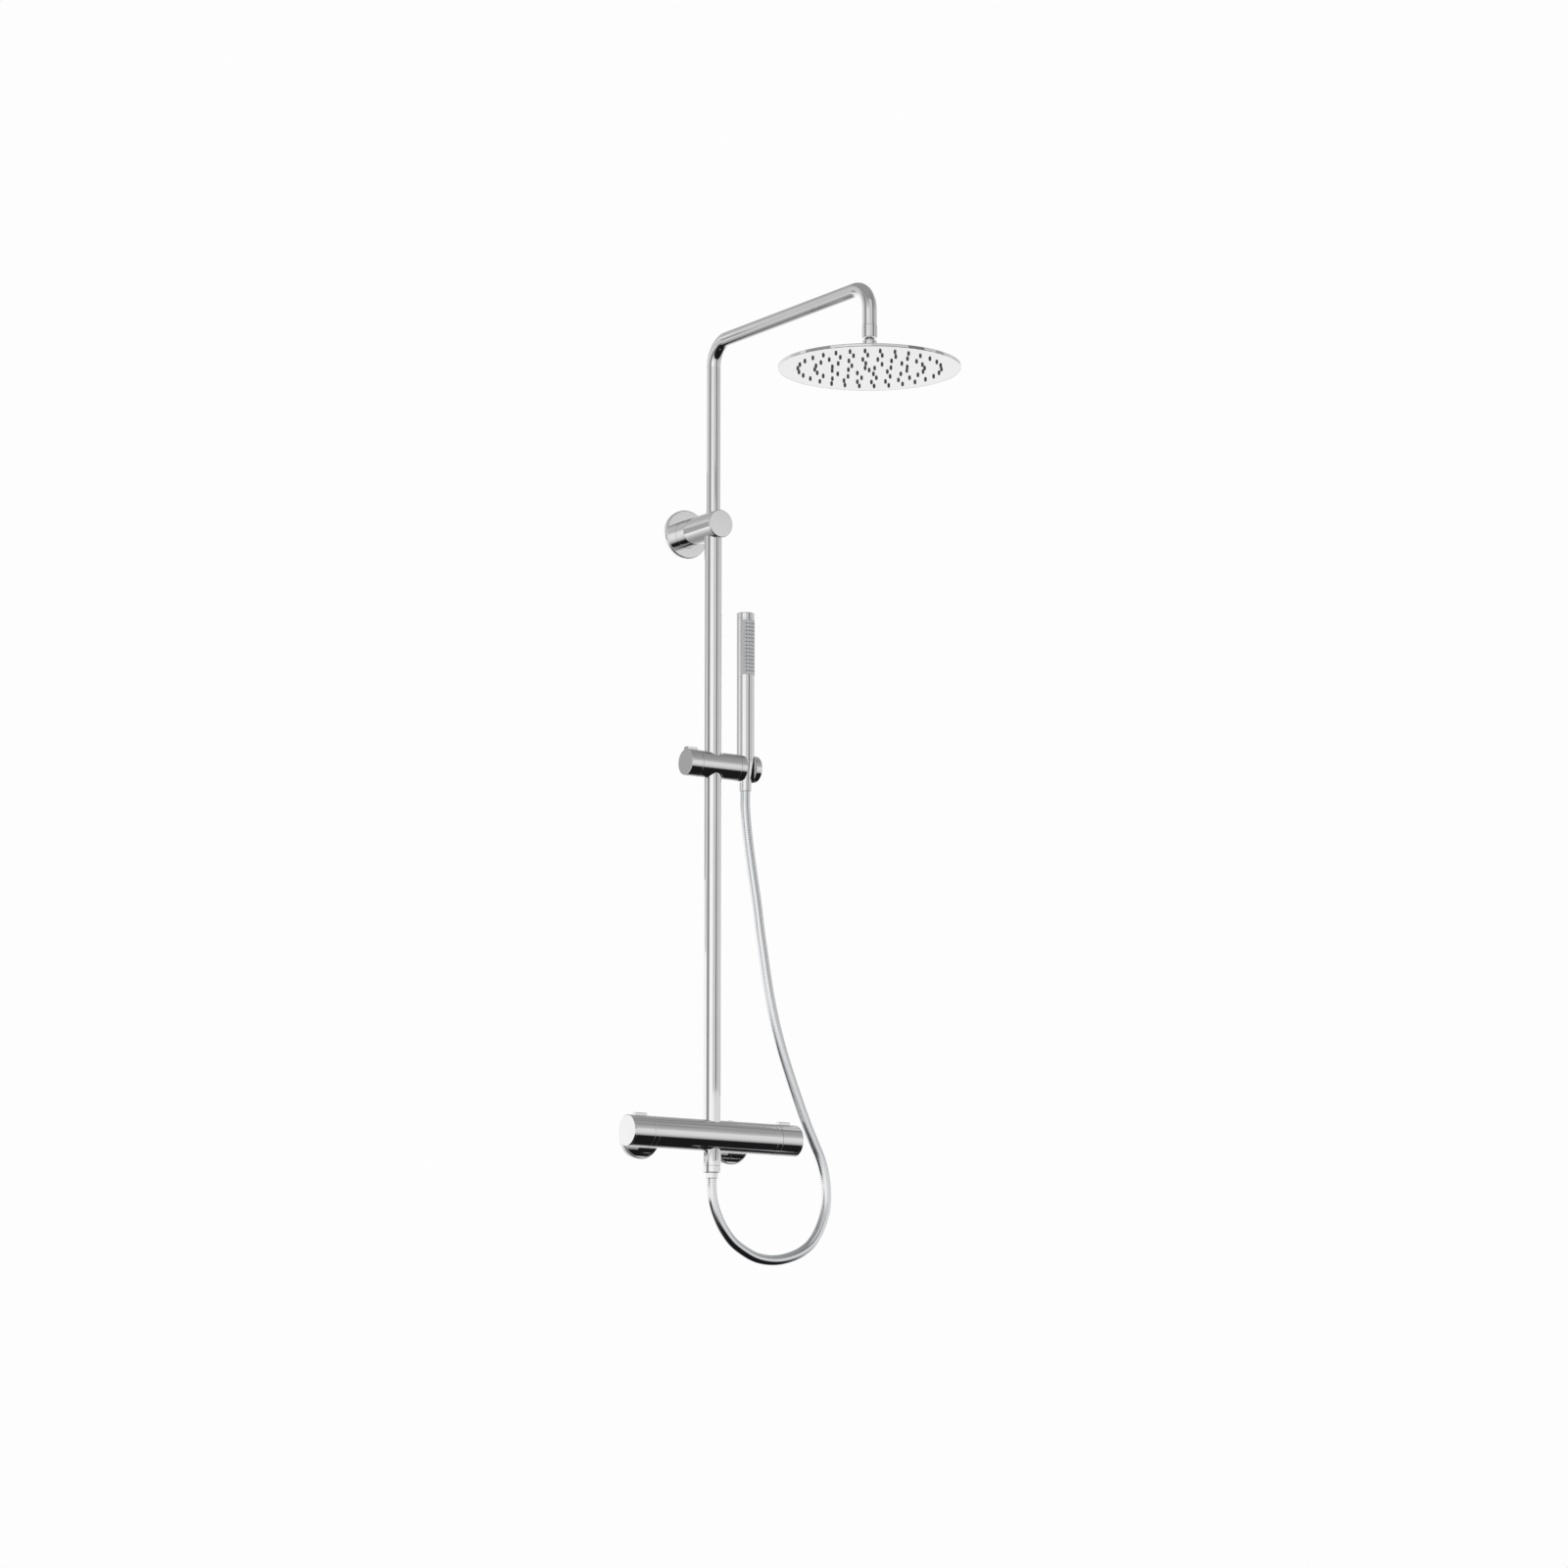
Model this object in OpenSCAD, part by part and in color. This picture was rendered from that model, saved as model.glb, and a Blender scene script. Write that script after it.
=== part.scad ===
// Rainfall shower column: thermostatic bar mixer, telescopic riser with a swan-neck arm,
// flat overhead shower, sliding holder with a stick hand shower, and its hose.
// The wall is the plane y = 0 and the object stands out from it towards -y. The origin is
// midway between the two water inlets, and z runs up the riser.

/* [Mixer] */
// Length of the whole bar, knobs included
mixer_length = 280; // [240:1:340]
// Diameter of the bar and its knobs
mixer_d = 44; // [40:0.5:56]
// Length of each knob
knob_length = 34; // [24:0.5:44]
// Width of the ring between a knob and the bar
ring_width = 8; // [5:0.5:12]
// Distance between the two water inlets
inlet_spacing = 150; // [140:1:160]
// Distance from the wall to the axis of the bar and the riser
wall_gap = 75; // [66:1:110]
// Diameter of the roses over the inlets
inlet_rose_d = 62; // [50:1:72]
// Depth of those roses
inlet_rose_depth = 10; // [6:0.5:14]
// Length of inlet thread that goes into the wall
inlet_thread_length = 20; // [12:1:30]
// Outside diameter of the G 1/2 inlet threads
inlet_thread_d = 20.96; // [20.9:0.01:21.1]
// Width of the stop button on each knob, round the knob
button_width = 10; // [8:0.5:14]
// Length of a stop button, along the bar
button_length = 18; // [12:0.5:20]
// Height of a stop button above its knob
button_proud = 3.5; // [2.5:0.1:4.5]
// Travel of a stop button
button_travel = 2; // [1.5:0.1:2.5]

/* [Riser and arm] */
// Outside diameter of the lower riser, which the slider runs on
riser_d = 25; // [24:0.5:26]
// Outside diameter of the arm tube, which telescopes in the riser
arm_d = 20; // [19:0.5:20]
// Wall of the arm tube
arm_wall = 1.5; // [1:0.1:2]
// Wall of the lower riser
riser_wall = 1.5; // [1:0.1:1.5]
// Height of the arm above the mixer
arm_height = 1135; // [1060:1:1300]
// Distance from the riser to the middle of the overhead shower
arm_reach = 390; // [300:1:450]
// Radius of the arm's bends, at the tube's middle
bend_r = 35; // [30:1:60]
// Length of the arm tube that stays inside the riser
arm_inside = 230; // [200:1:300]
// Height of the wall bracket above the mixer
bracket_height = 869; // [840:1:920]
// Diameter of the bracket's arm
bracket_d = 40; // [36:1:50]
// How far the bracket stands out past the riser's axis
bracket_front = 20; // [17:0.5:30]
// Diameter of the rose over the bracket's plate
bracket_rose_d = 70; // [66:1:90]
// Depth of that rose
bracket_rose_depth = 7; // [7:0.5:12]
// Distance between the bracket's two wall screws
screw_spacing = 48; // [46:0.5:50]
// Diameter of the holes for those screws
screw_hole_d = 5.5; // [4:0.1:6]

/* [Overhead shower] */
// Diameter of the overhead shower
head_d = 250; // [220:1:300]
// Thickness of its rim
head_rim = 4; // [4:0.5:8]
// Rise of its top from the rim to the hub
head_rise = 5; // [4:0.5:12]
// Drop from the arm's axis to the shower's lower face
head_drop = 118; // [114:1:140]
// Diameter of a nozzle where it leaves the plate
nozzle_d = 4; // [3:0.1:4.4]
// Length of a nozzle below the plate
nozzle_length = 3; // [1:0.1:4]
// Diameter of the swivel ball
ball_d = 15; // [14:0.5:15]

/* [Slider and hand shower] */
// Height of the slider above the mixer
slider_height = 524; // [500:1:560]
// Diameter of the slider's barrel
barrel_d = 38; // [36:0.5:46]
// Barrel's left end, from the riser's axis
barrel_left = 46; // [44:1:56]
// Wall of the holder on each side of the hand shower, its lining included
cradle_wall = 4; // [3.5:0.1:6]
// Length of the clamp knob at the barrel's left end
clamp_knob_length = 19; // [16:0.5:22]
// Height of the clamp knob's thumb tab
tab_proud = 3.5; // [2:0.1:5]
// Distance from the riser's axis to the hand shower's axis
handset_offset = 55; // [54:0.5:56]
// Diameter of the hand shower
handset_d = 26; // [24:0.5:26]
// Length of the hand shower's body above the holder's axis
handset_length = 224; // [190:1:250]
// Length of its spray face
spray_length = 79; // [60:1:100]
// Width of its spray face
spray_width = 20; // [16:0.5:20]
// Width of the holder's front slot
slot_width = 15.6; // [15.2:0.1:16]

/* [Hose] */
// Diameter of the hose
hose_d = 14.5; // [12:0.1:15]

/* [Hidden] */
$fn = 96;

// Clearances: between parts that run on each other, between parts that only pass, and the
// overlap that a cut takes past the face it opens.
running = 0.05;
apart = 0.3;
cut = 1;

// Mixer
mixer_r = mixer_d / 2;
body_half = mixer_length / 2 - knob_length - ring_width;
cap_thickness = 3;
cartridge_d = mixer_d - 10;
cartridge_depth = 44;
cartridge_mouth = 22;
spindle_depth = 14;
neck_d = 26;
waterway_d = 18;
port_d = 17;
port_bore = 12;
boss_d = 32;
inlet_way = 15;
boss_back = mixer_r + 6;
boss_thread_d = 26.4;
boss_thread_length = 4;
spindle_d = 9;
hub_d = 16;
knob_wall = 3;
knob_start = body_half + ring_width + apart;
knob_end = mixer_length / 2 - cap_thickness;
button_x = body_half + ring_width + 4 + button_length / 2;
button_flange = 1.5;
spring_squashed = 3;
button_base = hub_d / 2 + spring_squashed + button_travel + button_flange;
nut_length = 16;
nut_across = 32;
union_d = 20;
union_bore = 14;
flange_d = 26;
flange_thickness = 3;
filter_thickness = 2;
flange_back = -wall_gap + boss_back + filter_thickness + flange_thickness;
screw_d = 4;
screw_head_d = 8;
screw_head = 1.5;
spring_wire = 0.35;
rose_wall = 2;
seat_drop = 4;
seat_z = mixer_r - seat_drop;

// Hose end of the mixer
nipple_drop = 42.5;
nipple_socket = 10;
nipple_thread = 5;
washer_thickness = 1.5;
nut_floor = 1.5;
hose_bore = 10;
outlet_nut_drop = 52;
ferrule_drop = 60;
ferrule_d = 18;

// Riser
riser_r = riser_d / 2;
riser_bore = riser_d - 2 * riser_wall;
riser_top = bracket_height + 7;
nipple_reach = 26;
seal_groove = 2.4;
seal_depth = 4;
gland_groove = 2;
gland_length = 30;
stop_collar = 4;
bush_length = 30;
arm_bottom = bracket_height - arm_inside;
arm_bore = arm_d - 2 * arm_wall;
drop_end = arm_height - 57;
plate_thickness = 4;
plate_d = 60;
plate_boss_d = 28;
plate_boss_length = 20;
grub_screw_d = 5;
grub_screw_y = -plate_thickness - plate_boss_length / 2;

// Swivel and overhead shower
ball_r = ball_d / 2;
ball_z = drop_end - ball_r - 2.5;
seat_thickness = 1.05;
nut_cavity = ball_r + running + seat_thickness + running;
nut_wall = 2.1;
nut_r = nut_cavity + nut_wall;
nut_bottom = ball_z - ball_r - 0.5;
nut_mouth = ball_d - 1;
neck_r = 3.5;
hub_top = ball_z - ball_r - 4.5;
hub_foot = 22;
head_bottom = arm_height - head_drop;
head_top = head_bottom + head_rim + head_rise;
head_wall = 1.2;
plate_wall = 1.5;
// Each ring of nozzles: share of the shower's radius, number of nozzles, angle of the first
nozzle_rings = [[0.784, 30, 2.4], [0.6, 24, 6.7], [0.416, 16, 0], [0.236, 8, 0], [0.06, 3, 30]];

// Slider and hand shower
barrel_r = barrel_d / 2;
knob_face = -barrel_left + clamp_knob_length;
cradle_face = handset_offset - handset_d / 2 - cradle_wall;
barrel_right = handset_offset + handset_d / 2 + cradle_wall;
ring_d = riser_d + 4.3;
spigot_d = 14;
spigot_length = 17;
collar_d = 18;
collar_length = 9;
guide_width = 3.5;
tab_width = 10;
plunger_d = 8;
pad_d = 9;
pad_back = riser_r + 5;
handset_r = handset_d / 2;
handset_top = slider_height + handset_length;
handset_cap_height = 8;
handset_foot = slider_height + 12;
cone_end = slider_height - 21;
cone_end_r = 8.75;
cone_nut_end = slider_height - 33;
handset_wall = 2;
connector_depth = 14;
connector_thread = 10;
spray_pin_d = 1.6;
liner_d = handset_d + 2;
spray_top = handset_top - handset_cap_height - 3;

// Route of the hose in the plane y = -wall_gap, as x and z
hose_route = [[0, -60], [0, -73], [2, -90], [8, -108], [19, -128], [35, -146], [54, -158],
    [73, -166], [93, -169], [113, -168], [133, -163], [151, -155], [168, -142], [182, -121],
    [191, -96], [193, -71], [190, -46], [183, -23], [173, -3], [161, 21], [146, 55], [132, 89],
    [119, 123], [108, 157], [99, 191], [92, 225], [86, 260], [80, 295], [75, 330], [69, 365],
    [63, 400], [58, 435], [55, 467], [55, 491]];

function unit(v) = v / norm(v);
function along(path, i) = unit(path[min(i + 1, len(path) - 1)] - path[max(i - 1, 0)]);

// A round bar of the given radius swept along a path. across is a direction that is never
// in line with the path.
module swept(path, across, radius, sides) {
    last = len(path) - 1;
    points = [for (i = [0:last])
        let (t = along(path, i), a = unit(across[i] - (across[i] * t) * t), b = cross(t, a))
        for (k = [0:sides - 1])
        path[i] + radius * (a * cos(360 * k / sides) + b * sin(360 * k / sides))];
    start_cap = [for (k = [0:sides - 1]) k];
    end_cap = [for (k = [sides - 1:-1:0]) last * sides + k];
    skin = [for (i = [0:last - 1]) for (k = [0:sides - 1]) for (half = [0, 1])
        let (k2 = (k + 1) % sides, p = i * sides, q = p + sides)
        half == 0 ? [p + k, q + k, q + k2] : [p + k, q + k2, p + k2]];
    polyhedron(points, concat([start_cap, end_cap], skin), convexity = 6);
}

// A solid or hollow cylinder along x, from x0 to x1
module bar_x(x0, x1, d, bore = 0) {
    translate([x0, 0, 0]) rotate([0, 90, 0]) tube_z(0, x1 - x0, d, bore);
}

// A solid or hollow cylinder along z, from z0 to z1
module tube_z(z0, z1, d, bore = 0) {
    translate([0, 0, z0]) difference() {
        cylinder(h = z1 - z0, d = d);
        if (bore > 0) translate([0, 0, -cut]) cylinder(h = z1 - z0 + 2 * cut, d = bore);
    }
}

// A solid or hollow cylinder along y, from y0 to y1
module bar_y(y0, y1, d, bore = 0) {
    translate([0, y0, 0]) rotate([-90, 0, 0]) tube_z(0, y1 - y0, d, bore);
}

// Puts what is drawn round the riser's axis in its place off the wall
module on_axis() {
    translate([0, -wall_gap, 0]) children();
}

// Draws a thing at both inlets
module at_inlets() {
    for (side = [-1, 1]) translate([side * inlet_spacing / 2, 0, 0]) children();
}

// ---------------------------------------------------------------- mixer

module mixer_body() {
    color("silver") difference() {
        union() {
            on_axis() bar_x(-body_half, body_half, mixer_d);
            at_inlets() bar_y(-wall_gap, -wall_gap + boss_back - boss_thread_length, boss_d);
            at_inlets() bar_y(-wall_gap, -wall_gap + boss_back, boss_thread_d);
        }
        on_axis() bar_x(-body_half - cut, body_half + cut, waterway_d);
        for (side = [0, 1]) on_axis() mirror([side, 0, 0])
            bar_x(body_half - cartridge_depth, body_half + cut, cartridge_d + 2 * running);
        on_axis() tube_z(-mixer_r - cut, mixer_r + cut, port_d + 2 * running);
        on_axis() tube_z(seat_z, mixer_r + cut, riser_d + 2 * running);
        on_axis() tube_z(-mixer_r - cut, -seat_z, riser_d + 2 * running);
        at_inlets() bar_y(-wall_gap, -wall_gap + boss_back + cut, inlet_way);
    }
}

// Both cartridges have the same outside: a barrel in the bar and a threaded neck
module cartridge() {
    difference() {
        union() {
            bar_x(body_half - cartridge_depth, body_half, cartridge_d);
            bar_x(body_half - cut, body_half + ring_width - 1, neck_d);
        }
        bar_x(body_half - spindle_depth, body_half + ring_width, spindle_d + 2 * running);
        bar_x(body_half - cartridge_depth - cut, body_half - cartridge_mouth, union_bore);
    }
}

module thermostatic_cartridge() {
    color("dimgray") on_axis() cartridge();
}

module diverter_cartridge() {
    color("dimgray") on_axis() mirror([1, 0, 0]) cartridge();
}

module scale_ring() {
    bar_x(body_half, body_half + ring_width, mixer_d, neck_d + 2 * running);
}

module temperature_scale_ring() {
    color("silver") on_axis() scale_ring();
}

module flow_scale_ring() {
    color("silver") on_axis() mirror([1, 0, 0]) scale_ring();
}

module inlet_unions() {
    color("silver") at_inlets() difference() {
        union() {
            bar_y(flange_back, cut, union_d);
            bar_y(0, inlet_thread_length, inlet_thread_d);
            bar_y(flange_back - flange_thickness, flange_back, flange_d);
        }
        bar_y(flange_back - flange_thickness - cut, inlet_thread_length + cut, union_bore);
    }
}

module inlet_filters() {
    color("gray") at_inlets()
        bar_y(-wall_gap + boss_back, -wall_gap + boss_back + filter_thickness,
            flange_d - 1, union_bore - 1);
}

module inlet_nuts() {
    start = -wall_gap + boss_back - 3;
    color("silver") at_inlets() difference() {
        translate([0, start, 0]) rotate([-90, 0, 0])
            cylinder(h = nut_length, d = nut_across / cos(30), $fn = 6);
        bar_y(start - cut, flange_back, boss_thread_d + 2 * running);
        bar_y(start, start + nut_length + cut, union_d + 2 * running);
    }
}

module inlet_roses() {
    color("silver") at_inlets()
        translate([0, -inlet_rose_depth, 0]) rotate([-90, 0, 0]) rotate_extrude()
            polygon([[union_d / 2 + apart, 0], [inlet_rose_d / 2 - 1.5, 0],
                [inlet_rose_d / 2, 1.5], [inlet_rose_d / 2, inlet_rose_depth],
                [inlet_rose_d / 2 - rose_wall, inlet_rose_depth],
                [inlet_rose_d / 2 - rose_wall, rose_wall + 0.5],
                [union_d / 2 + apart, rose_wall + 0.5]]);
}

module check_valves() {
    color("dimgray") at_inlets()
        bar_y(-wall_gap + cartridge_d / 2 + 1, -wall_gap + boss_back - 2,
            inlet_way - 2 * running, 8);
}

module riser_nipple() {
    color("goldenrod") on_axis() difference() {
        union() {
            tube_z(seat_z - nipple_socket, seat_z + cut, port_d);
            tube_z(seat_z, seat_z + nipple_reach, riser_bore - 2 * running);
        }
        tube_z(seat_z - nipple_socket - cut, seat_z + nipple_reach + cut, port_bore);
        for (z = [seat_z + 8, seat_z + 16])
            tube_z(z, z + seal_groove, riser_d, riser_bore - seal_depth);
    }
}

module hose_nipple() {
    color("silver") on_axis() difference() {
        union() {
            tube_z(-seat_z - cut, -seat_z + nipple_socket, port_d);
            tube_z(-nipple_drop, -seat_z, riser_d);
            tube_z(-nipple_drop - nipple_thread, -nipple_drop + cut, inlet_thread_d);
        }
        tube_z(-nipple_drop - nipple_thread - cut, -seat_z + nipple_socket + cut, port_bore);
    }
}

// Seals round the nipple's foot and in the gland at the riser's top
module pipe_seals() {
    color("black") on_axis() {
        for (z = [seat_z + 8, seat_z + 16])
            tube_z(z + 0.2, z + seal_groove - 0.2, riser_bore - running,
                riser_bore - seal_depth + running);
        for (z = [riser_top - 10, riser_top - 20])
            tube_z(z + 0.2, z + gland_groove - 0.2, arm_d + 1.6, arm_d + running);
    }
}

module hose_outlet_nut() {
    color("silver") on_axis() difference() {
        tube_z(-outlet_nut_drop, -nipple_drop, riser_d);
        tube_z(-outlet_nut_drop + nut_floor, -nipple_drop + cut,
            inlet_thread_d + 2 * running);
        tube_z(-outlet_nut_drop - cut, -nipple_drop, 15.5);
    }
}

module hose_washer() {
    top = -nipple_drop - nipple_thread;
    color("black") on_axis() tube_z(top - washer_thickness, top, 19, 11);
}

module hose_ferrule() {
    flange_top = -nipple_drop - nipple_thread - washer_thickness;
    color("silver") on_axis() rotate_extrude()
        polygon([[hose_bore / 2, flange_top], [9.8, flange_top],
            [9.8, -outlet_nut_drop + nut_floor], [7.6, -outlet_nut_drop + nut_floor],
            [7.6, -outlet_nut_drop], [ferrule_d / 2, -outlet_nut_drop],
            [ferrule_d / 2 - 0.6, -ferrule_drop], [hose_bore / 2, -ferrule_drop]]);
}

module hose() {
    path = [for (p = hose_route) [p[0], -wall_gap, p[1]]];
    color("silver") swept(path, [for (p = path) [0, 1, 0]], hose_d / 2, 12);
}

// ---------------------------------------------------------------- knobs, drawn on the right

module knob() {
    difference() {
        union() {
            difference() {
                bar_x(knob_start, knob_end, mixer_d);
                bar_x(knob_start - cut, knob_end - knob_wall, mixer_d - 2 * knob_wall);
            }
            bar_x(knob_start + 3, knob_end - knob_wall + cut, hub_d);
        }
        bar_x(knob_start - cut, knob_end - 8, spindle_d + 2 * running);
        bar_x(knob_end - 9, knob_end + cut, screw_d + 0.4);
        translate([button_x - button_length / 2 - apart, -button_width / 2 - apart, hub_d])
            cube([button_length + 2 * apart, button_width + 2 * apart, mixer_r]);
    }
}

module knob_cap() {
    face = mixer_length / 2;
    difference() {
        translate([knob_end, 0, 0]) rotate([0, 90, 0]) rotate_extrude()
            polygon([[0, 0], [mixer_r, 0], [mixer_r, cap_thickness - 1],
                [mixer_r - 1, cap_thickness], [0, cap_thickness]]);
        bar_x(knob_end - cut, face - 1.4, screw_head_d + 1);
    }
}

module knob_screw() {
    bar_x(knob_end - 16, knob_end, screw_d);
    bar_x(knob_end, knob_end + screw_head, screw_head_d);
}

module spindle() {
    difference() {
        bar_x(body_half - 12, knob_end - 8.5, spindle_d);
        bar_x(knob_end - 16, knob_end, screw_d + 2 * running);
    }
}

module stop_button() {
    x0 = button_x - button_length / 2;
    intersection() {
        translate([x0, -button_width / 2, button_base])
            cube([button_length, button_width, mixer_r]);
        bar_x(x0 - cut, x0 + button_length + cut, mixer_d + 2 * button_proud);
    }
    translate([x0 - button_flange, -button_width / 2 - button_flange,
        button_base - button_flange])
        cube([button_length + 2 * button_flange, button_width + 2 * button_flange,
            button_flange]);
}

// A small coil spring between the knob's hub and the button's flange
module button_spring() {
    turns = 4;
    steps = 14;
    coil_r = 2.6;
    low = hub_d / 2 + spring_wire + 0.15;
    high = button_base - button_flange - spring_wire - running;
    last = turns * steps;
    path = [for (i = [0:last]) [button_x + coil_r * cos(360 * i / steps),
        coil_r * sin(360 * i / steps), low + (high - low) * i / last]];
    swept(path, [for (i = [0:last]) [0, 0, 1]], spring_wire, 6);
}

module temperature_knob() {
    color("silver") on_axis() knob();
}

module temperature_knob_cap() {
    color("whitesmoke") on_axis() knob_cap();
}

module temperature_knob_screw() {
    color("gray") on_axis() knob_screw();
}

module temperature_spindle() {
    color("goldenrod") on_axis() spindle();
}

module safety_stop_button() {
    color("silver") on_axis() stop_button();
}

module safety_button_spring() {
    color("gray") on_axis() button_spring();
}

module flow_knob() {
    color("silver") on_axis() mirror([1, 0, 0]) knob();
}

module flow_knob_cap() {
    color("whitesmoke") on_axis() mirror([1, 0, 0]) knob_cap();
}

module flow_knob_screw() {
    color("gray") on_axis() mirror([1, 0, 0]) knob_screw();
}

module flow_spindle() {
    color("goldenrod") on_axis() mirror([1, 0, 0]) spindle();
}

module eco_stop_button() {
    color("silver") on_axis() mirror([1, 0, 0]) stop_button();
}

module eco_button_spring() {
    color("gray") on_axis() mirror([1, 0, 0]) button_spring();
}

// ---------------------------------------------------------------- riser and bracket

module lower_riser_tube() {
    color("silver") on_axis() tube_z(seat_z, riser_top, riser_d, riser_bore);
}

// Plastic bush in the riser's top that guides the arm tube, with a groove for each seal
module riser_gland() {
    color("dimgray") on_axis() difference() {
        tube_z(riser_top - gland_length, riser_top, riser_bore - 2 * running,
            arm_d + 2 * running);
        for (z = [riser_top - 10, riser_top - 20])
            tube_z(z, z + gland_groove, arm_d + 1.8, arm_d - cut);
    }
}

module bracket_arm() {
    color("silver") difference() {
        translate([0, -wall_gap - bracket_front, bracket_height]) rotate([-90, 0, 0])
            rotate_extrude() polygon([[0, 0], [bracket_d / 2 - 1, 0], [bracket_d / 2, 1],
                [bracket_d / 2, wall_gap + bracket_front - plate_thickness],
                [0, wall_gap + bracket_front - plate_thickness]]);
        on_axis() tube_z(bracket_height - bracket_d, riser_top, riser_d + 2 * running);
        on_axis() tube_z(riser_top - cut, bracket_height + bracket_d, arm_d + 2 * apart);
        translate([0, 0, bracket_height])
            bar_y(-plate_thickness - plate_boss_length, 0, plate_boss_d + 2 * running);
        translate([0, grub_screw_y, 0])
            tube_z(bracket_height - bracket_d, bracket_height, grub_screw_d + 2 * running);
    }
}

module bracket_wall_plate() {
    color("gray") difference() {
        translate([0, 0, bracket_height]) union() {
            bar_y(-plate_thickness, 0, plate_d);
            bar_y(-plate_thickness - plate_boss_length, -plate_thickness + cut, plate_boss_d);
        }
        for (side = [-1, 1]) translate([side * screw_spacing / 2, 0, bracket_height])
            bar_y(-plate_thickness - cut, cut, screw_hole_d);
        translate([0, grub_screw_y, 0])
            tube_z(bracket_height - bracket_d, bracket_height - plate_boss_d / 2 + 2,
                grub_screw_d + 2 * running);
    }
}

module bracket_rose() {
    inner = bracket_d / 2 + running;
    color("silver") translate([0, -bracket_rose_depth, bracket_height]) rotate([-90, 0, 0])
        rotate_extrude() polygon([[inner, 0], [bracket_rose_d / 2 - 1.5, 0],
            [bracket_rose_d / 2, 1.5], [bracket_rose_d / 2, bracket_rose_depth],
            [bracket_rose_d / 2 - rose_wall, bracket_rose_depth],
            [bracket_rose_d / 2 - rose_wall, rose_wall], [inner, rose_wall]]);
}

module bracket_grub_screw() {
    color("dimgray") translate([0, grub_screw_y, 0]) difference() {
        tube_z(bracket_height - bracket_d / 2 + 1, bracket_height - plate_boss_d / 2 + 1.5,
            grub_screw_d);
        translate([0, 0, bracket_height - bracket_d / 2]) cylinder(h = 3, d = 2.9, $fn = 6);
    }
}

// ---------------------------------------------------------------- telescopic arm

module column_guide_bush() {
    color("ivory") on_axis()
        tube_z(arm_bottom + stop_collar + apart, arm_bottom + stop_collar + bush_length,
            riser_bore - 2 * running, arm_d + 2 * running);
}

// One bend of the arm: a quarter turn in the plane that the arm lies in
module bend() {
    rotate_extrude(angle = 90) translate([bend_r, 0]) difference() {
        circle(d = arm_d);
        circle(d = arm_bore);
    }
}

module shower_arm_tube() {
    color("silver") on_axis() union() {
        tube_z(arm_bottom, arm_height - bend_r, arm_d, arm_bore);
        tube_z(arm_bottom, arm_bottom + stop_collar, riser_bore - 4 * running, arm_bore);
        translate([0, -bend_r, arm_height - bend_r]) rotate([90, 0, 90]) bend();
        translate([0, 0, arm_height]) bar_y(-arm_reach + bend_r, -bend_r, arm_d, arm_bore);
        translate([0, -arm_reach + bend_r, arm_height - bend_r]) rotate([90, 0, -90]) bend();
        translate([0, -arm_reach, 0]) tube_z(drop_end, arm_height - bend_r, arm_d, arm_bore);
    }
}

// Everything below the arm's end is drawn round the shower's axis
module on_drop() {
    translate([0, -wall_gap - arm_reach, 0]) children();
}

module arm_nipple() {
    color("goldenrod") on_drop()
        tube_z(ball_z + ball_r + 0.8, drop_end + 14, arm_bore - 2 * running, 10);
}

module swivel_nut() {
    color("silver") on_drop() difference() {
        translate([0, 0, nut_bottom]) rotate_extrude()
            polygon([[0, 0], [nut_r - 0.8, 0], [nut_r, 0.8], [nut_r, drop_end - nut_bottom],
                [0, drop_end - nut_bottom]]);
        translate([0, 0, ball_z]) sphere(r = nut_cavity);
        tube_z(ball_z, drop_end + cut, 2 * nut_cavity);
        translate([0, 0, nut_bottom - cut])
            cylinder(h = 4.1, r1 = nut_mouth / 2 + 1.4, r2 = nut_mouth / 2);
        tube_z(nut_bottom, ball_z, nut_mouth);
    }
}

// A ring cut from a shell round the ball, between two heights from the ball's middle
module ball_ring(low, high) {
    inner = ball_r + running;
    on_drop() translate([0, 0, ball_z]) difference() {
        intersection() {
            sphere(r = inner + seat_thickness);
            tube_z(low, high, 30);
        }
        sphere(r = inner);
    }
}

module ball_seat_ring() {
    color("ivory") ball_ring(-ball_r + 3.1, -1.5);
}

module ball_seal_ring() {
    color("black") ball_ring(1.5, ball_r - 1.5);
}

module ball_stud() {
    color("silver") on_drop() difference() {
        union() {
            translate([0, 0, ball_z]) sphere(d = ball_d);
            tube_z(hub_top - 12, ball_z, 2 * neck_r);
            tube_z(hub_top - 14, hub_top - 4, 12);
        }
        tube_z(hub_top - 14 - cut, ball_z + ball_r + cut, 4.5);
    }
}

module head_hub() {
    foot = head_top - hub_top;
    color("silver") on_drop() difference() {
        translate([0, 0, hub_top]) rotate_extrude()
            polygon([[neck_r + apart, 0], [9.2, 0], [10, -0.8], [10, -12],
                [11.5, -16], [hub_foot - 4, foot + 5], [hub_foot, foot + 3.5], [hub_foot, foot],
                [neck_r + apart, foot]]);
        tube_z(head_top - cut, hub_top - 4 + running, 12 + 2 * running);
    }
}

module head_top_shell() {
    r = head_d / 2;
    color("silver") on_drop() translate([0, 0, head_bottom]) rotate_extrude()
        polygon([[6.1, head_rim + head_rise], [hub_foot, head_rim + head_rise], [r - 0.8, head_rim],
            [r, head_rim - 0.8], [r, 0.5], [r - 0.5, 0], [r - head_wall, 0],
            [r - head_wall, head_rim - head_wall], [hub_foot, head_rim + head_rise - head_wall],
            [6.1, head_rim + head_rise - head_wall]]);
}

// Draws a thing at the place of every nozzle of the overhead shower
module at_nozzles() {
    for (ring = nozzle_rings) for (k = [0:ring[1] - 1])
        rotate([0, 0, 90 - ring[2] - 360 * k / ring[1]])
            translate([ring[0] * head_d / 2, 0, 0]) children();
}

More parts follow.
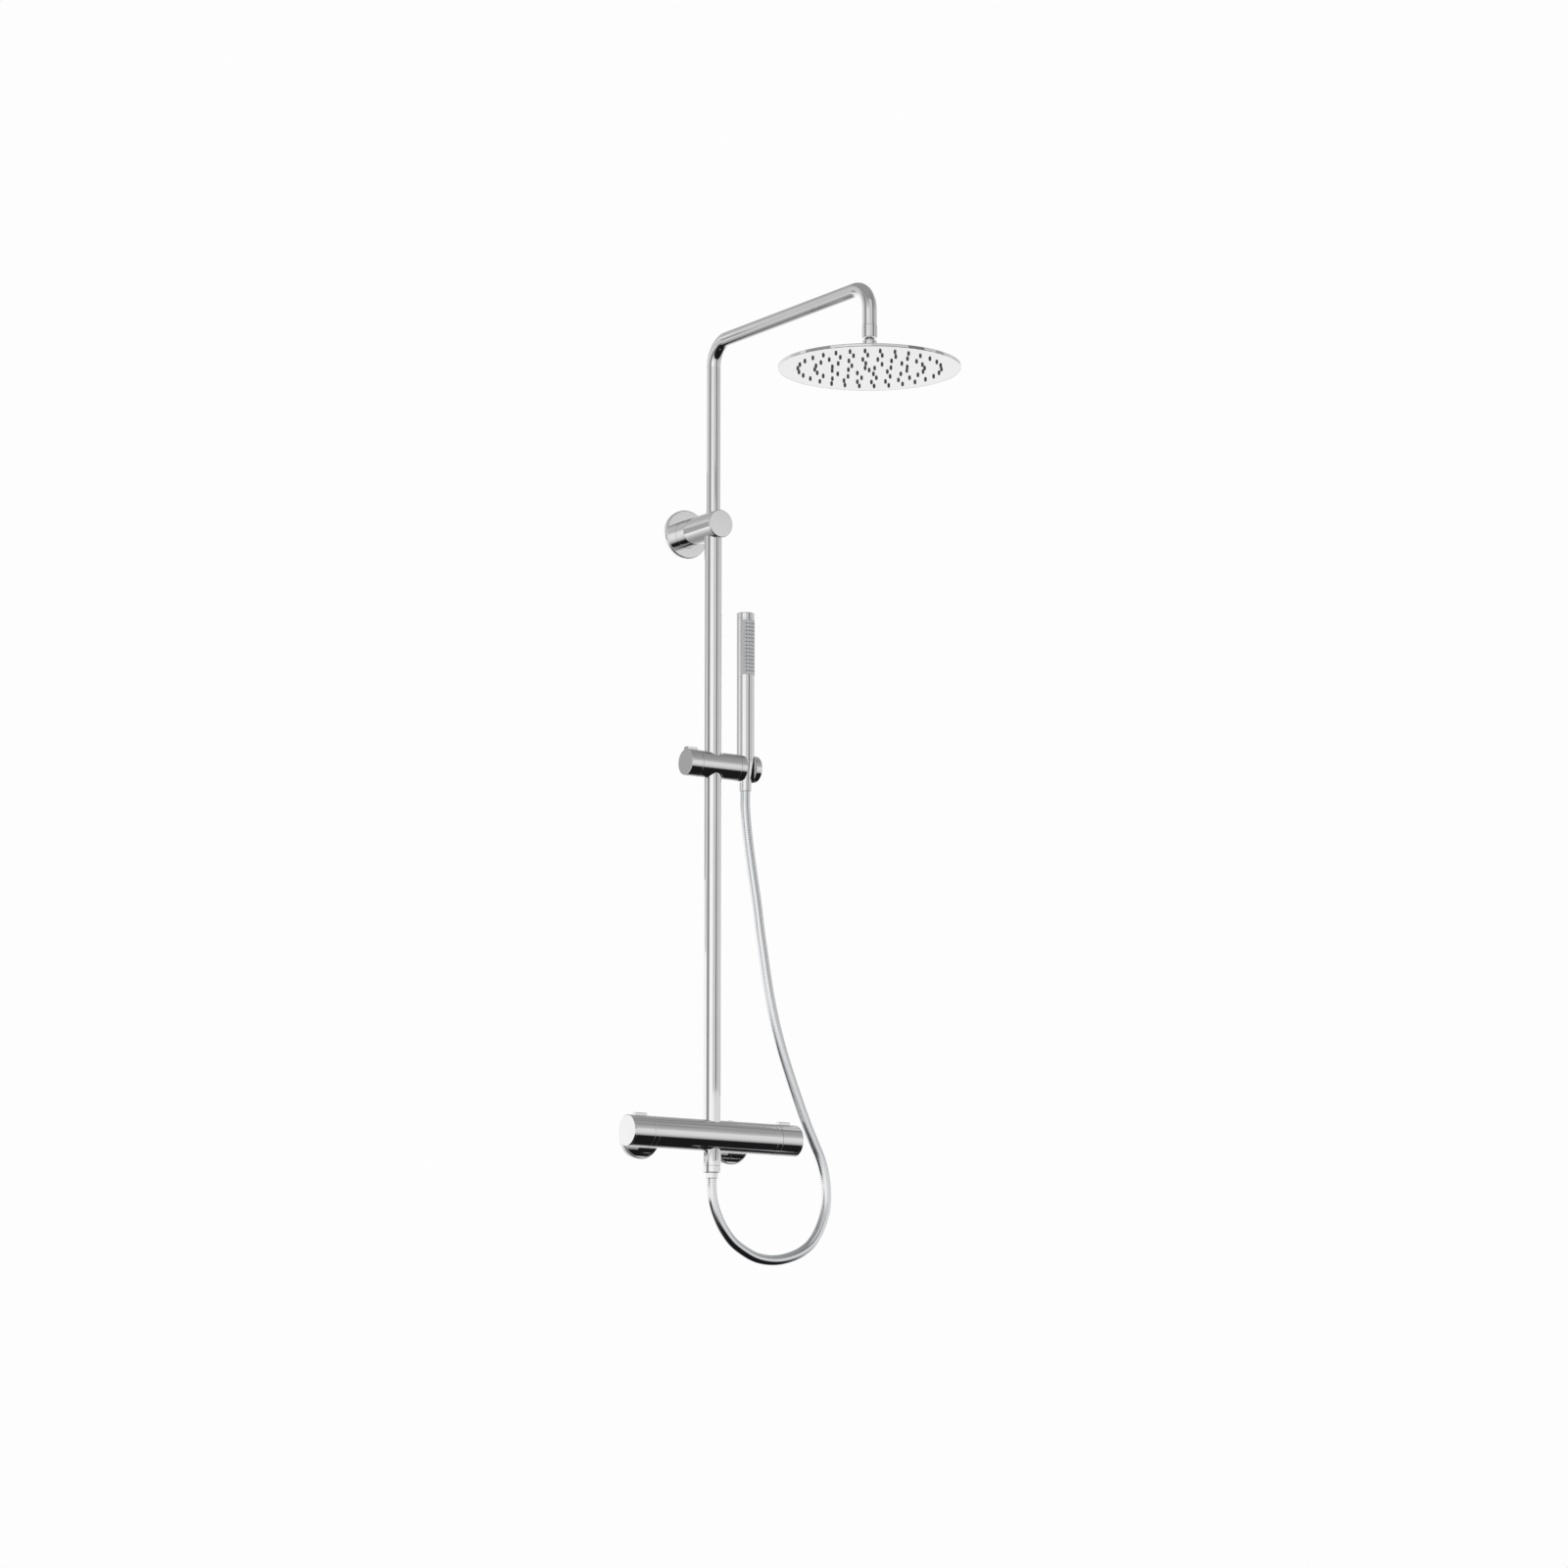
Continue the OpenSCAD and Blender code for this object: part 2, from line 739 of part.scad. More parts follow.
module head_spray_plate() {
    color("white") on_drop() translate([0, 0, head_bottom]) difference() {
        tube_z(0, plate_wall, head_d - 2 * head_wall - 2 * running);
        at_nozzles() tube_z(-cut, plate_wall + cut, nozzle_d + 2 * running);
    }
}

module head_nozzles() {
    color("gray") on_drop() translate([0, 0, head_bottom]) at_nozzles() rotate_extrude($fn = 24)
        polygon([[0.5, -nozzle_length], [nozzle_d / 2 - 0.5, -nozzle_length],
            [nozzle_d / 2, 0], [nozzle_d / 2, plate_wall], [nozzle_d / 2 + 0.4, plate_wall],
            [nozzle_d / 2 + 0.4, plate_wall + 0.6], [0.5, plate_wall + 0.6]]);
}

// ---------------------------------------------------------------- slider

// Draws what is centred on the slider's barrel
module on_slider() {
    translate([0, -wall_gap, slider_height]) children();
}

module slider_guide_rings() {
    color("ivory") on_slider() for (z = [6.5, -10])
        tube_z(z, z + guide_width, ring_d, riser_d + 2 * running);
}

module slider_barrel() {
    color("silver") on_slider() difference() {
        union() {
            bar_x(knob_face + apart, cradle_face - apart, barrel_d);
            bar_x(knob_face - collar_length, knob_face + cut, collar_d);
        }
        tube_z(-barrel_d, barrel_d, ring_d + 2 * running);
        bar_x(cradle_face - spigot_length - 1, cradle_face, spigot_d + 2 * running);
        bar_x(-barrel_left, 0, plunger_d + 2 * running);
        bar_x(-pad_back - 1.5, 0, pad_d + 2 * apart);
    }
}

module clamp_knob() {
    color("silver") on_slider() difference() {
        union() {
            translate([-barrel_left, 0, 0]) rotate([0, 90, 0]) rotate_extrude()
                polygon([[0, 0], [barrel_r - 1, 0], [barrel_r, 1],
                    [barrel_r, clamp_knob_length], [0, clamp_knob_length]]);
            intersection() {
                translate([-barrel_left + 1, -tab_width / 2, 0])
                    cube([clamp_knob_length - 2, tab_width, barrel_d]);
                bar_x(-barrel_left, knob_face, barrel_d + 2 * tab_proud);
            }
        }
        bar_x(knob_face - collar_length - apart, knob_face + cut, collar_d + 2 * running);
        bar_x(-barrel_left + 2.5, knob_face, plunger_d + 2 * running);
    }
}

module clamp_plunger() {
    color("goldenrod") on_slider() bar_x(-barrel_left + 4, -pad_back, plunger_d);
}

module clamp_pad() {
    color("ivory") on_slider() bar_x(-pad_back, -riser_r - running, pad_d);
}

module holder_cradle() {
    color("silver") on_slider() difference() {
        union() {
            translate([cradle_face, 0, 0]) rotate([0, 90, 0]) rotate_extrude()
                polygon([[0, 0], [barrel_r, 0], [barrel_r, barrel_right - cradle_face - 1],
                    [barrel_r - 1, barrel_right - cradle_face], [0, barrel_right - cradle_face]]);
            bar_x(cradle_face - spigot_length, cradle_face + cut, spigot_d);
        }
        translate([handset_offset, 0, 0]) tube_z(-barrel_d, barrel_d, liner_d + 2 * running);
        translate([handset_offset - slot_width / 2, -barrel_d, -barrel_d])
            cube([slot_width, barrel_d, 2 * barrel_d]);
    }
}

// The cone of the hose nut and the holder's lining, widened all round by extra
module seat_cone(extra) {
    low = cone_nut_end - slider_height - cut;
    high = handset_foot - slider_height;
    rotate_extrude() polygon([[0, low], [cone_end_r + extra, low],
        [cone_end_r + extra, cone_end - slider_height], [handset_r + extra, high],
        [handset_r + extra, barrel_d], [0, barrel_d]]);
}

module holder_liner() {
    color("dimgray") on_slider() difference() {
        intersection() {
            bar_x(cradle_face, barrel_right, barrel_d - 2 * apart);
            translate([handset_offset, 0, 0]) tube_z(-barrel_d, barrel_d, liner_d);
        }
        translate([handset_offset, 0, 0]) seat_cone(apart);
        translate([handset_offset - slot_width / 2, -barrel_d, -barrel_d])
            cube([slot_width, barrel_d, 2 * barrel_d]);
    }
}

// ---------------------------------------------------------------- hand shower

// Draws what is centred on the hand shower's axis
module on_handset() {
    translate([handset_offset, -wall_gap, 0]) children();
}

module spray_window(extra) {
    translate([-spray_width / 2 - extra, -handset_d, spray_top - spray_length - extra])
        cube([spray_width + 2 * extra, handset_d, spray_length + 2 * extra]);
}

module handset_shell() {
    color("silver") on_handset() difference() {
        tube_z(handset_foot, handset_top - handset_cap_height, handset_d,
            handset_d - 2 * handset_wall);
        spray_window(0);
    }
}

module handset_cap() {
    color("white") on_handset() {
        translate([0, 0, handset_top - handset_cap_height]) rotate_extrude()
            polygon([[0, 0], [handset_r, 0], [handset_r, handset_cap_height - 1],
                [handset_r - 1, handset_cap_height], [0, handset_cap_height]]);
    }
}

module spray_insert() {
    color("gray") on_handset() difference() {
        intersection() {
            tube_z(0, handset_top, handset_d - 0.4, handset_d - 8);
            spray_window(-0.2);
        }
        at_spray_nozzles() bar_y(-handset_d, 0, spray_pin_d + 2 * running);
    }
}

module at_spray_nozzles() {
    for (x = [-6, -2, 2, 6]) for (k = [0:13])
        translate([x, 0, spray_top - spray_length / 2 + (k - 6.5) * spray_length / 15])
            children();
}

module spray_nozzles() {
    color("darkgray") on_handset() intersection() {
        at_spray_nozzles() bar_y(-handset_d, 0, spray_pin_d);
        tube_z(0, handset_top, handset_d + 0.8, handset_d - 9);
    }
}

module handset_connector() {
    color("goldenrod") on_handset() difference() {
        union() {
            tube_z(handset_foot, handset_foot + connector_depth,
                handset_d - 2 * handset_wall - 2 * running);
            tube_z(handset_foot - connector_thread, handset_foot + cut, inlet_thread_d);
        }
        tube_z(handset_foot - connector_thread - cut, handset_foot + connector_depth + cut,
            port_bore);
    }
}

module hose_cone_nut() {
    color("silver") on_handset() difference() {
        rotate_extrude() polygon([[0, cone_nut_end], [cone_end_r - 0.6, cone_nut_end],
            [cone_end_r, cone_nut_end + 0.6], [cone_end_r, cone_end],
            [handset_r, handset_foot], [0, handset_foot]]);
        tube_z(handset_foot - connector_thread - 2, handset_foot + cut,
            inlet_thread_d + 2 * running);
        tube_z(cone_nut_end - cut, handset_foot, 9);
    }
}

mixer_body();
thermostatic_cartridge();
diverter_cartridge();
temperature_scale_ring();
flow_scale_ring();
inlet_unions();
inlet_nuts();
inlet_roses();
inlet_filters();
check_valves();
riser_nipple();
hose_nipple();
pipe_seals();
lower_riser_tube();
riser_gland();
bracket_arm();
bracket_wall_plate();
bracket_rose();
bracket_grub_screw();
hose_outlet_nut();
hose_washer();
hose_ferrule();
hose();
flow_knob();
flow_knob_cap();
flow_knob_screw();
flow_spindle();
eco_stop_button();
eco_button_spring();
temperature_knob();
temperature_knob_cap();
temperature_knob_screw();
temperature_spindle();
safety_stop_button();
safety_button_spring();
column_guide_bush();
shower_arm_tube();
arm_nipple();
swivel_nut();
ball_seat_ring();
ball_seal_ring();
ball_stud();
head_hub();
head_top_shell();
head_spray_plate();
head_nozzles();
slider_guide_rings();
slider_barrel();
clamp_knob();
clamp_plunger();
clamp_pad();
holder_cradle();
holder_liner();
handset_shell();
handset_cap();
spray_insert();
spray_nozzles();
handset_connector();
hose_cone_nut();
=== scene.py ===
# %% [markdown]
# A shower column is a plumbing frame that carries water from a bar mixer up a riser to an overhead
# shower, and down a hose to a hand shower. The engineering model holds every part's size, place
# and motion, so this lesson starts by loading it and then gives it its looks: smooth turned metal,
# moulded plastic and silicone, a soft studio, and a camera low in front of it.
# %% Load the frame
import math

import bmesh
import bpy
import numpy as np
from mathutils import Matrix, Vector


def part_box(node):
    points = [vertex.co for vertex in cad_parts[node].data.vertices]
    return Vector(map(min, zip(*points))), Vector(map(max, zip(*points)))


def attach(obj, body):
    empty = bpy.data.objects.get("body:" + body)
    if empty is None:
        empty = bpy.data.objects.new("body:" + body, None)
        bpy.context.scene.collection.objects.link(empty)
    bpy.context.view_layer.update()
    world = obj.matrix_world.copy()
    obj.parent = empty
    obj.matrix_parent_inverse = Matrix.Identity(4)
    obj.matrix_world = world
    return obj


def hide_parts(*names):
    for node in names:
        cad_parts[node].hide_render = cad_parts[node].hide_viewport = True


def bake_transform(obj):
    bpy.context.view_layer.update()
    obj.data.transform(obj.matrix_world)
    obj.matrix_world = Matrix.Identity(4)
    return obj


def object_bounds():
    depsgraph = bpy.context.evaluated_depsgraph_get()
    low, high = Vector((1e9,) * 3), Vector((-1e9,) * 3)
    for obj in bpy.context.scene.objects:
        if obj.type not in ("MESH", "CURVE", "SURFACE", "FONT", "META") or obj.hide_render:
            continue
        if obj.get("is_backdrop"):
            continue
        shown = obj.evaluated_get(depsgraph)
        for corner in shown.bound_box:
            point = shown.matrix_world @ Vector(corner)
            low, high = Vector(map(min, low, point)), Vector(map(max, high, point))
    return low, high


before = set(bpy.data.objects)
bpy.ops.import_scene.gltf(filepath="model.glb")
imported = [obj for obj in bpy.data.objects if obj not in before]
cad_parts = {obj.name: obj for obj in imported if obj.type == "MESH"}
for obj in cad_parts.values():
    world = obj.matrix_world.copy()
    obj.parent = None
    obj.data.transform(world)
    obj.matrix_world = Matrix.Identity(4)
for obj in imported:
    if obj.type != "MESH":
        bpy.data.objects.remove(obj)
cad_low, cad_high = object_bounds()
scene = bpy.context.scene
MM = 0.001
print("CAD box", [round(v, 3) for v in (*cad_low, *cad_high)])

# %% [markdown]
# Everything hangs on a few lines: the riser's axis, the slider's height, the middle of the hose and
# hand shower, the middle of the overhead shower and the top of the arm. Each is read from the box
# of a part that lies on it, so the pieces made here fall exactly where the model has them.
# %% Read the driving lines
def middle(node):
    low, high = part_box(node)
    return (low + high) / 2


axis_y = middle("lower_riser_tube").y
slider_z = middle("slider_barrel").z
holder_x = middle("hose_cone_nut").x
drop_y = middle("head_top_shell").y
arm_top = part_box("shower_arm_tube")[1].z
print(f"riser axis y {axis_y:.4f}, slider z {slider_z:.4f}, overhead shower y {drop_y:.4f}")

# %% [markdown]
# The camera stands well back and low on the left of the shower, and looks up a little through a
# long lens: the verticals stay parallel and the disc of the overhead shower shows its underside.
# It is placed by two angles and a distance from a point beside the riser.
# %% Camera
look_at = Vector((0.0834, axis_y - 0.056, 0.497))
turn_left = math.radians(33.86)
tilt_up = math.radians(9.56)
distance = 7.302
ahead = Vector((math.sin(turn_left) * math.cos(tilt_up), math.cos(turn_left) * math.cos(tilt_up),
    math.sin(tilt_up)))
camera_data = bpy.data.cameras.new("camera")
camera_data.lens = 118.96
camera_data.sensor_width = 36
camera_data.clip_end = 100
camera = bpy.data.objects.new("camera", camera_data)
scene.collection.objects.link(camera)
camera.location = look_at - ahead * distance
camera.rotation_mode = "QUATERNION"
camera.rotation_quaternion = ahead.to_track_quat("-Z", "Y")
scene.camera = camera
print("camera at", [round(v, 3) for v in camera.location])

# %% [markdown]
# Materials are node trees. One small helper adds a node with its settings and links its inputs,
# and one function turns the sRGB hex colours, which are how a maker names a finish, into the
# linear numbers that the shader works with.
# %% Node helper and colours
def linear(hex_colour):
    channels = [int(hex_colour[i:i + 2], 16) / 255 for i in (1, 3, 5)]
    return [c / 12.92 if c <= 0.04045 else ((c + 0.055) / 1.055) ** 2.4 for c in channels] + [1.0]


def add(tree, kind, settings=None, **inputs):
    node = tree.nodes.new(kind)
    for key, value in (settings or {}).items():
        setattr(node, key, value)
    for key, value in inputs.items():
        socket = node.inputs[int(key[1:])] if key[0] == "i" and key[1:].isdigit() else node.inputs[
            key.replace("_", " ")]
        if isinstance(value, bpy.types.NodeSocket):
            tree.links.new(value, socket)
        else:
            socket.default_value = value
    return node


def new_material(name):
    material = bpy.data.materials.new(name)
    material.use_nodes = True
    material.node_tree.nodes.clear()
    return material, material.node_tree


# %% [markdown]
# Chrome plate on brass is a nearly neutral mirror. What makes it read as plating and not
# as a computer mirror is very small: polishing leaves the surface a little wavy over about a
# centimetre, and handling leaves patches that are slightly less glossy. Both are noise, scaled
# in millimetres: one drives the roughness, one a weak bump.
# %% Polished chrome plate
def polished_chrome():
    patch, ripple = 35 * MM, 12 * MM
    glossiest, dullest = 0.025, 0.06
    material, tree = new_material("polished_chrome_plate")
    place = add(tree, "ShaderNodeTexCoord").outputs["Object"]
    haze = add(tree, "ShaderNodeTexNoise", Vector=place, Scale=1 / patch, Detail=3.0)
    rough = add(tree, "ShaderNodeMapRange", Value=haze.outputs["Fac"], To_Min=glossiest,
        To_Max=dullest)
    tint = add(tree, "ShaderNodeMix", {"data_type": "RGBA"}, Factor=haze.outputs["Fac"],
        i6=linear("#EFEFEF"), i7=linear("#E7E7E8"))
    polish = add(tree, "ShaderNodeTexNoise", Vector=place, Scale=1 / ripple, Detail=1.0)
    bump = add(tree, "ShaderNodeBump", Strength=0.010, Distance=0.4 * MM,
        Height=polish.outputs["Fac"])
    shader = add(tree, "ShaderNodeBsdfPrincipled", Base_Color=tint.outputs[2], Metallic=1.0,
        Roughness=rough.outputs[0], Normal=bump.outputs[0])
    add(tree, "ShaderNodeOutputMaterial", Surface=shader.outputs[0])
    return material


chrome = polished_chrome()
print("made", chrome.name)

# %% [markdown]
# A shower hose is a plastic tube with a silver spiral wound under a clear skin. It is one flexible
# length from the outlet under the bar to the cone nut under the hand shower, and it hangs in a
# loop. Its route is given as points in millimetres, across and up, in the plane of the riser. They
# become one smooth curve with a point every few millimetres: a Catmull-Rom spline, which passes
# through all the points it is given.
# %% Route of the hose
HOSE_D = 14.5 * MM
HOSE_ROUTE = [(0, -60), (0, -73), (2, -90), (8, -108), (19, -128), (35, -146), (54, -158),
    (73, -166), (93, -169), (113, -168), (133, -163), (151, -155), (168, -142), (182, -121),
    (191, -96), (193, -71), (190, -46), (183, -23), (173, -3), (161, 21), (146, 55), (132, 89),
    (119, 123), (108, 157), (99, 191), (92, 225), (86, 260), (80, 295), (75, 330), (69, 365),
    (63, 400), (58, 435), (55, 467), (55, 491)]


def smooth_route(points, steps):
    points = [np.array(p, float) for p in points]
    ends = [2 * points[0] - points[1], *points, 2 * points[-1] - points[-2]]
    line = []
    for a, b, c, d in zip(ends, ends[1:], ends[2:], ends[3:]):
        for t in np.arange(steps) / steps:
            line.append(0.5 * (2 * b + (c - a) * t + (2 * a - 5 * b + 4 * c - d) * t ** 2
                + (3 * b - a - 3 * c + d) * t ** 3))
    return np.array([*line, points[-1]])


route = np.array([(x * MM, axis_y, z * MM) for x, z in smooth_route(HOSE_ROUTE, steps=5)])
run = np.concatenate([[0], np.cumsum(np.linalg.norm(np.diff(route, axis=0), axis=1))])
print(f"hose {run[-1]:.3f} m long, {len(route)} points")

# %% [markdown]
# The hose crosses four joints: the slider's height and swivel, the holder's tilt and the lift of
# the hand shower. A piece can bend over one joint, so the hose is made in four lengths whose end
# rings coincide. Each ring stands square to the curve. The coordinates for its surface pattern
# are the distance along the hose and the turn round it, so the spiral runs on from one length
# to the next.
# %% Make a length of tube
def link_piece(name, mesh, material, body, nodes=()):
    piece = bpy.data.objects.new(name, mesh)
    scene.collection.objects.link(piece)
    mesh.materials.clear()
    mesh.materials.append(material)
    if body:
        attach(piece, body)
    if nodes:
        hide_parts(*nodes)
    return piece


def ring_frames(path, side):
    frames = []
    for i in range(len(path)):
        along = path[min(i + 1, len(path) - 1)] - path[max(i - 1, 0)]
        along = along / np.linalg.norm(along)
        a = side - np.dot(side, along) * along
        a = a / np.linalg.norm(a)
        frames.append((a, np.cross(along, a)))
    return frames


def tube_mesh(name, path, frames, radius, distance, sides=32):
    turn = np.arange(sides) * 2 * math.pi / sides
    verts = [tuple(p + radius * (a * math.cos(t) + b * math.sin(t)))
        for p, (a, b) in zip(path, frames) for t in turn]
    faces = [(i * sides + k, i * sides + (k + 1) % sides, (i + 1) * sides + (k + 1) % sides,
        (i + 1) * sides + k) for i in range(len(path) - 1) for k in range(sides)]
    faces += [tuple(range(sides - 1, -1, -1)),
        tuple((len(path) - 1) * sides + k for k in range(sides))]
    mesh = bpy.data.meshes.new(name)
    mesh.from_pydata(verts, [], faces)
    around = mesh.uv_layers.new(name="hose_run")
    for face in mesh.polygons[:-2]:
        i, k = divmod(face.index, sides)
        for loop, (u, v) in zip(face.loop_indices, ((k, i), (k + 1, i), (k + 1, i + 1),
                (k, i + 1))):
            around.data[loop].uv = (u / sides, distance[v])
    mesh.shade_smooth()
    mesh.set_sharp_from_angle(angle=math.radians(50))
    return mesh


# %% [markdown]
# The finish of the hose is the silver foil spiral seen through glossy clear PVC: brighter and
# softer than chrome, with a fine winding. The real winding is about 2 mm a turn, too fine to show
# from across a room, so it is drawn at 2.5 mm and weak, as a bump and as a slight change of gloss.
# %% Silver spiral hose
def spiral_hose():
    pitch = 2.5 * MM
    material, tree = new_material("silver_spiral_pvc_hose")
    run_at = add(tree, "ShaderNodeUVMap", {"uv_map": "hose_run"})
    split = add(tree, "ShaderNodeSeparateXYZ", Vector=run_at.outputs[0])
    turns = add(tree, "ShaderNodeMath", {"operation": "MULTIPLY_ADD"}, i0=split.outputs[1],
        i1=1 / pitch, i2=split.outputs[0])
    phase = add(tree, "ShaderNodeMath", {"operation": "MULTIPLY"}, i0=turns.outputs[0],
        i1=2 * math.pi)
    winding = add(tree, "ShaderNodeMath", {"operation": "SINE"}, i0=phase.outputs[0])
    gloss = add(tree, "ShaderNodeMapRange", Value=winding.outputs[0], From_Min=-1.0,
        To_Min=0.10, To_Max=0.17)
    foil = add(tree, "ShaderNodeMapRange", Value=winding.outputs[0], From_Min=-1.0,
        To_Min=0.0, To_Max=1.0)
    tint = add(tree, "ShaderNodeMix", {"data_type": "RGBA"}, Factor=foil.outputs[0],
        i6=linear("#D9DCDF"), i7=linear("#F2F3F4"))
    bump = add(tree, "ShaderNodeBump", Strength=0.12, Distance=0.15 * MM,
        Height=winding.outputs[0])
    shader = add(tree, "ShaderNodeBsdfPrincipled", Base_Color=tint.outputs[2], Metallic=1.0,
        Roughness=gloss.outputs[0], Normal=bump.outputs[0], Coat_Weight=0.3,
        Coat_Roughness=0.05)
    add(tree, "ShaderNodeOutputMaterial", Surface=shader.outputs[0])
    return material


hose_finish = spiral_hose()
print("made", hose_finish.name)

# %% [markdown]
# The four lengths are cut at heights chosen for the four joints: 210 mm from the bar to the first
# cut for the slider's travel, the next 100 mm for its swivel, 120 mm for the holder's tilt, and
# the last 70 mm for the lift of the hand shower.
# %% The hose in four lengths
BODIES = ("mixer", "slider_rings", "slider", "holder", "handset")
BEND_START = -0.01
CUT_HEIGHTS = (0.200, 0.300, 0.420)

frames = ring_frames(route, np.array((0.0, 1.0, 0.0)))
rising = int(np.argmax(route[:, 0]))


def cut_at(height):
    return rising + int(np.argmin(np.abs(route[rising:, 2] - height)))


cuts = [0, *(cut_at(height) for height in CUT_HEIGHTS), len(route) - 1]
hose_lengths = []
for number, (first, last) in enumerate(zip(cuts, cuts[1:]), 1):
    part = slice(first, last + 1)
    mesh = tube_mesh(f"hose_length_{number}", route[part], frames[part], HOSE_D / 2, run[part])
    hose_lengths.append(link_piece(f"hose_length_{number}", mesh, hose_finish, None,
        ["hose"]))
    print(f"length {number}: {run[last] - run[first]:.3f} m, up to z {route[last][2]:.3f}")

levels = [BEND_START, *(route[cut][2] for cut in cuts[1:])]
for piece, below, above, low, high in zip(hose_lengths, BODIES, BODIES[1:], levels, levels[1:]):
    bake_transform(piece)

# %% [markdown]
# A soft studio for polished metal is mostly a matter of what the metal sees. The surroundings
# are white at eye level, grey overhead and dark below, where a black cloth would lie. Round
# parts show the dark as the crisp band along the underside that makes chrome look solid. The
# dark leans a little to the front, and the side to the camera's right is dimmer, so that the two
# flanks of a tube differ. The camera itself sees a plain pale background.
# %% Surroundings
CLOTH_LEAN = math.radians(9)
CLOTH_EDGE = (math.radians(59), math.radians(50))
DIM_SIDE, DIMMEST = math.radians(78), 0.76

world = bpy.data.worlds.new("studio")
world.use_nodes = True
scene.world = world
tree = world.node_tree
tree.nodes.clear()
way = add(tree, "ShaderNodeTexCoord").outputs["Generated"]
across = add(tree, "ShaderNodeSeparateXYZ", Vector=way)
rise = add(tree, "ShaderNodeMapRange", Value=across.outputs["Z"], From_Min=-1.0)
sky = add(tree, "ShaderNodeValToRGB", Fac=rise.outputs[0])
ramp = sky.color_ramp
ramp.elements[0].position, ramp.elements[0].color = 0.22, (0.34, 0.34, 0.34, 1)
ramp.elements[1].position, ramp.elements[1].color = 0.86, (0.34, 0.34, 0.345, 1)
for height, grey in ((-0.20, 1.0), (0.02, 1.06), (0.17, 1.06), (0.30, 0.72)):
    ramp.elements.new((height + 1) / 2).color = (grey, grey, grey, 1)
downward = add(tree, "ShaderNodeVectorMath", {"operation": "DOT_PRODUCT"}, i0=way,
    i1=(0.0, -math.sin(CLOTH_LEAN), -math.cos(CLOTH_LEAN)))
cloth = add(tree, "ShaderNodeMapRange", {"interpolation_type": "SMOOTHSTEP"},
    Value=downward.outputs["Value"], From_Min=math.cos(CLOTH_EDGE[0]),
    From_Max=math.cos(CLOTH_EDGE[1]))
right_turn = math.atan2(-ahead.y, -ahead.x) + DIM_SIDE
to_right = add(tree, "ShaderNodeVectorMath", {"operation": "DOT_PRODUCT"}, i0=way,
    i1=(math.cos(right_turn), math.sin(right_turn), 0.0))
dimming = add(tree, "ShaderNodeMapRange", {"interpolation_type": "SMOOTHSTEP"},
    Value=to_right.outputs["Value"], From_Min=0.30, From_Max=0.80, To_Min=1.0,
    To_Max=DIMMEST)
lit = add(tree, "ShaderNodeVectorMath", {"operation": "SCALE"}, i0=sky.outputs[0],
    Scale=dimming.outputs[0])
seen = add(tree, "ShaderNodeMix", {"data_type": "RGBA"}, Factor=cloth.outputs[0],
    i6=lit.outputs[0], i7=(0.012, 0.012, 0.013, 1))
straight = add(tree, "ShaderNodeLightPath").outputs["Is Camera Ray"]
backdrop = add(tree, "ShaderNodeMix", {"data_type": "RGBA"}, Factor=straight,
    i6=seen.outputs[2], i7=linear("#FDFDFD"))
glow = add(tree, "ShaderNodeBackground", Color=backdrop.outputs[2], Strength=1.0)
add(tree, "ShaderNodeOutputWorld", Surface=glow.outputs[0])
scene.view_settings.view_transform = "Standard"
print("surroundings: white at eye level, grey above, dark below")

# %% [markdown]
# Tall cards in several greys stand round the column, so that thin bright tubes get a darker line
# down each flank and don't melt into the background. One more, nearly black and low on the left,
# sharpens the dark band of the hose. Each glows evenly, and only mirrors see it.
# %% Grey cards
def card(name, turn, reach, width, low, high, grey):
    away = math.atan2(-ahead.y, -ahead.x) + math.radians(turn)
    middle_at = Vector((math.cos(away), math.sin(away), 0)) * reach + Vector((0, axis_y, 0))
    sideways = Vector((-math.sin(away), math.cos(away), 0)) * width / 2
    mesh = bpy.data.meshes.new(name)
    mesh.from_pydata([middle_at - sideways + Vector((0, 0, low)),
        middle_at + sideways + Vector((0, 0, low)), middle_at + sideways + Vector((0, 0, high)),
        middle_at - sideways + Vector((0, 0, high))], [], [(0, 1, 2, 3)])
    material, tree = new_material(name)
    flat = add(tree, "ShaderNodeEmission", Color=(grey, grey, grey, 1), Strength=1.0)
    add(tree, "ShaderNodeOutputMaterial", Surface=flat.outputs[0])
    mesh.materials.append(material)
    board = bpy.data.objects.new(name, mesh)
    scene.collection.objects.link(board)
    board.visible_camera = board.visible_diffuse = board.visible_shadow = False
    board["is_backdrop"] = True


# Name, turn from the camera's side in degrees, distance, width, foot and top in metres, grey
CARDS = [
    ("grey_card_left", -57, 1.8, 1.25, 0.0, 2.6, 0.33),
    ("pale_card_behind", -98, 1.8, 0.75, 0.5, 2.6, 0.62),
    ("dim_card_behind", -118, 1.75, 0.6, 0.62, 1.35, 0.42),
    ("pale_card_right", 26, 1.8, 1.2, 0.25, 2.6, 0.66),
    ("grey_card_right", 53, 1.78, 0.56, 0.25, 2.6, 0.20),
    ("grey_card_far_right", 84, 1.8, 0.40, 0.25, 2.6, 0.38),
    ("pale_card_far_right", 128, 1.8, 1.1, 0.25, 2.6, 0.62),
    ("dark_card_low_left", -74, 1.8, 2.0, -2.6, -0.46, 0.03),
]
for row in CARDS:
    card(*row)
print("cards:", len(CARDS))

# %% [markdown]
# The column hangs on a wall, so the floor lies well below it. It runs on so far that its edge is
# the horizon. A little light of its own stands for the lamps that a studio turns on its backdrop,
# so the paper stays pale while the metal keeps its darker surroundings.
# %% Floor
FLOOR_DROP = 0.9
FLOOR_REACH = 200
FLOOR_GLOW = 0.5
PAPER_GRAIN = 1 / 900

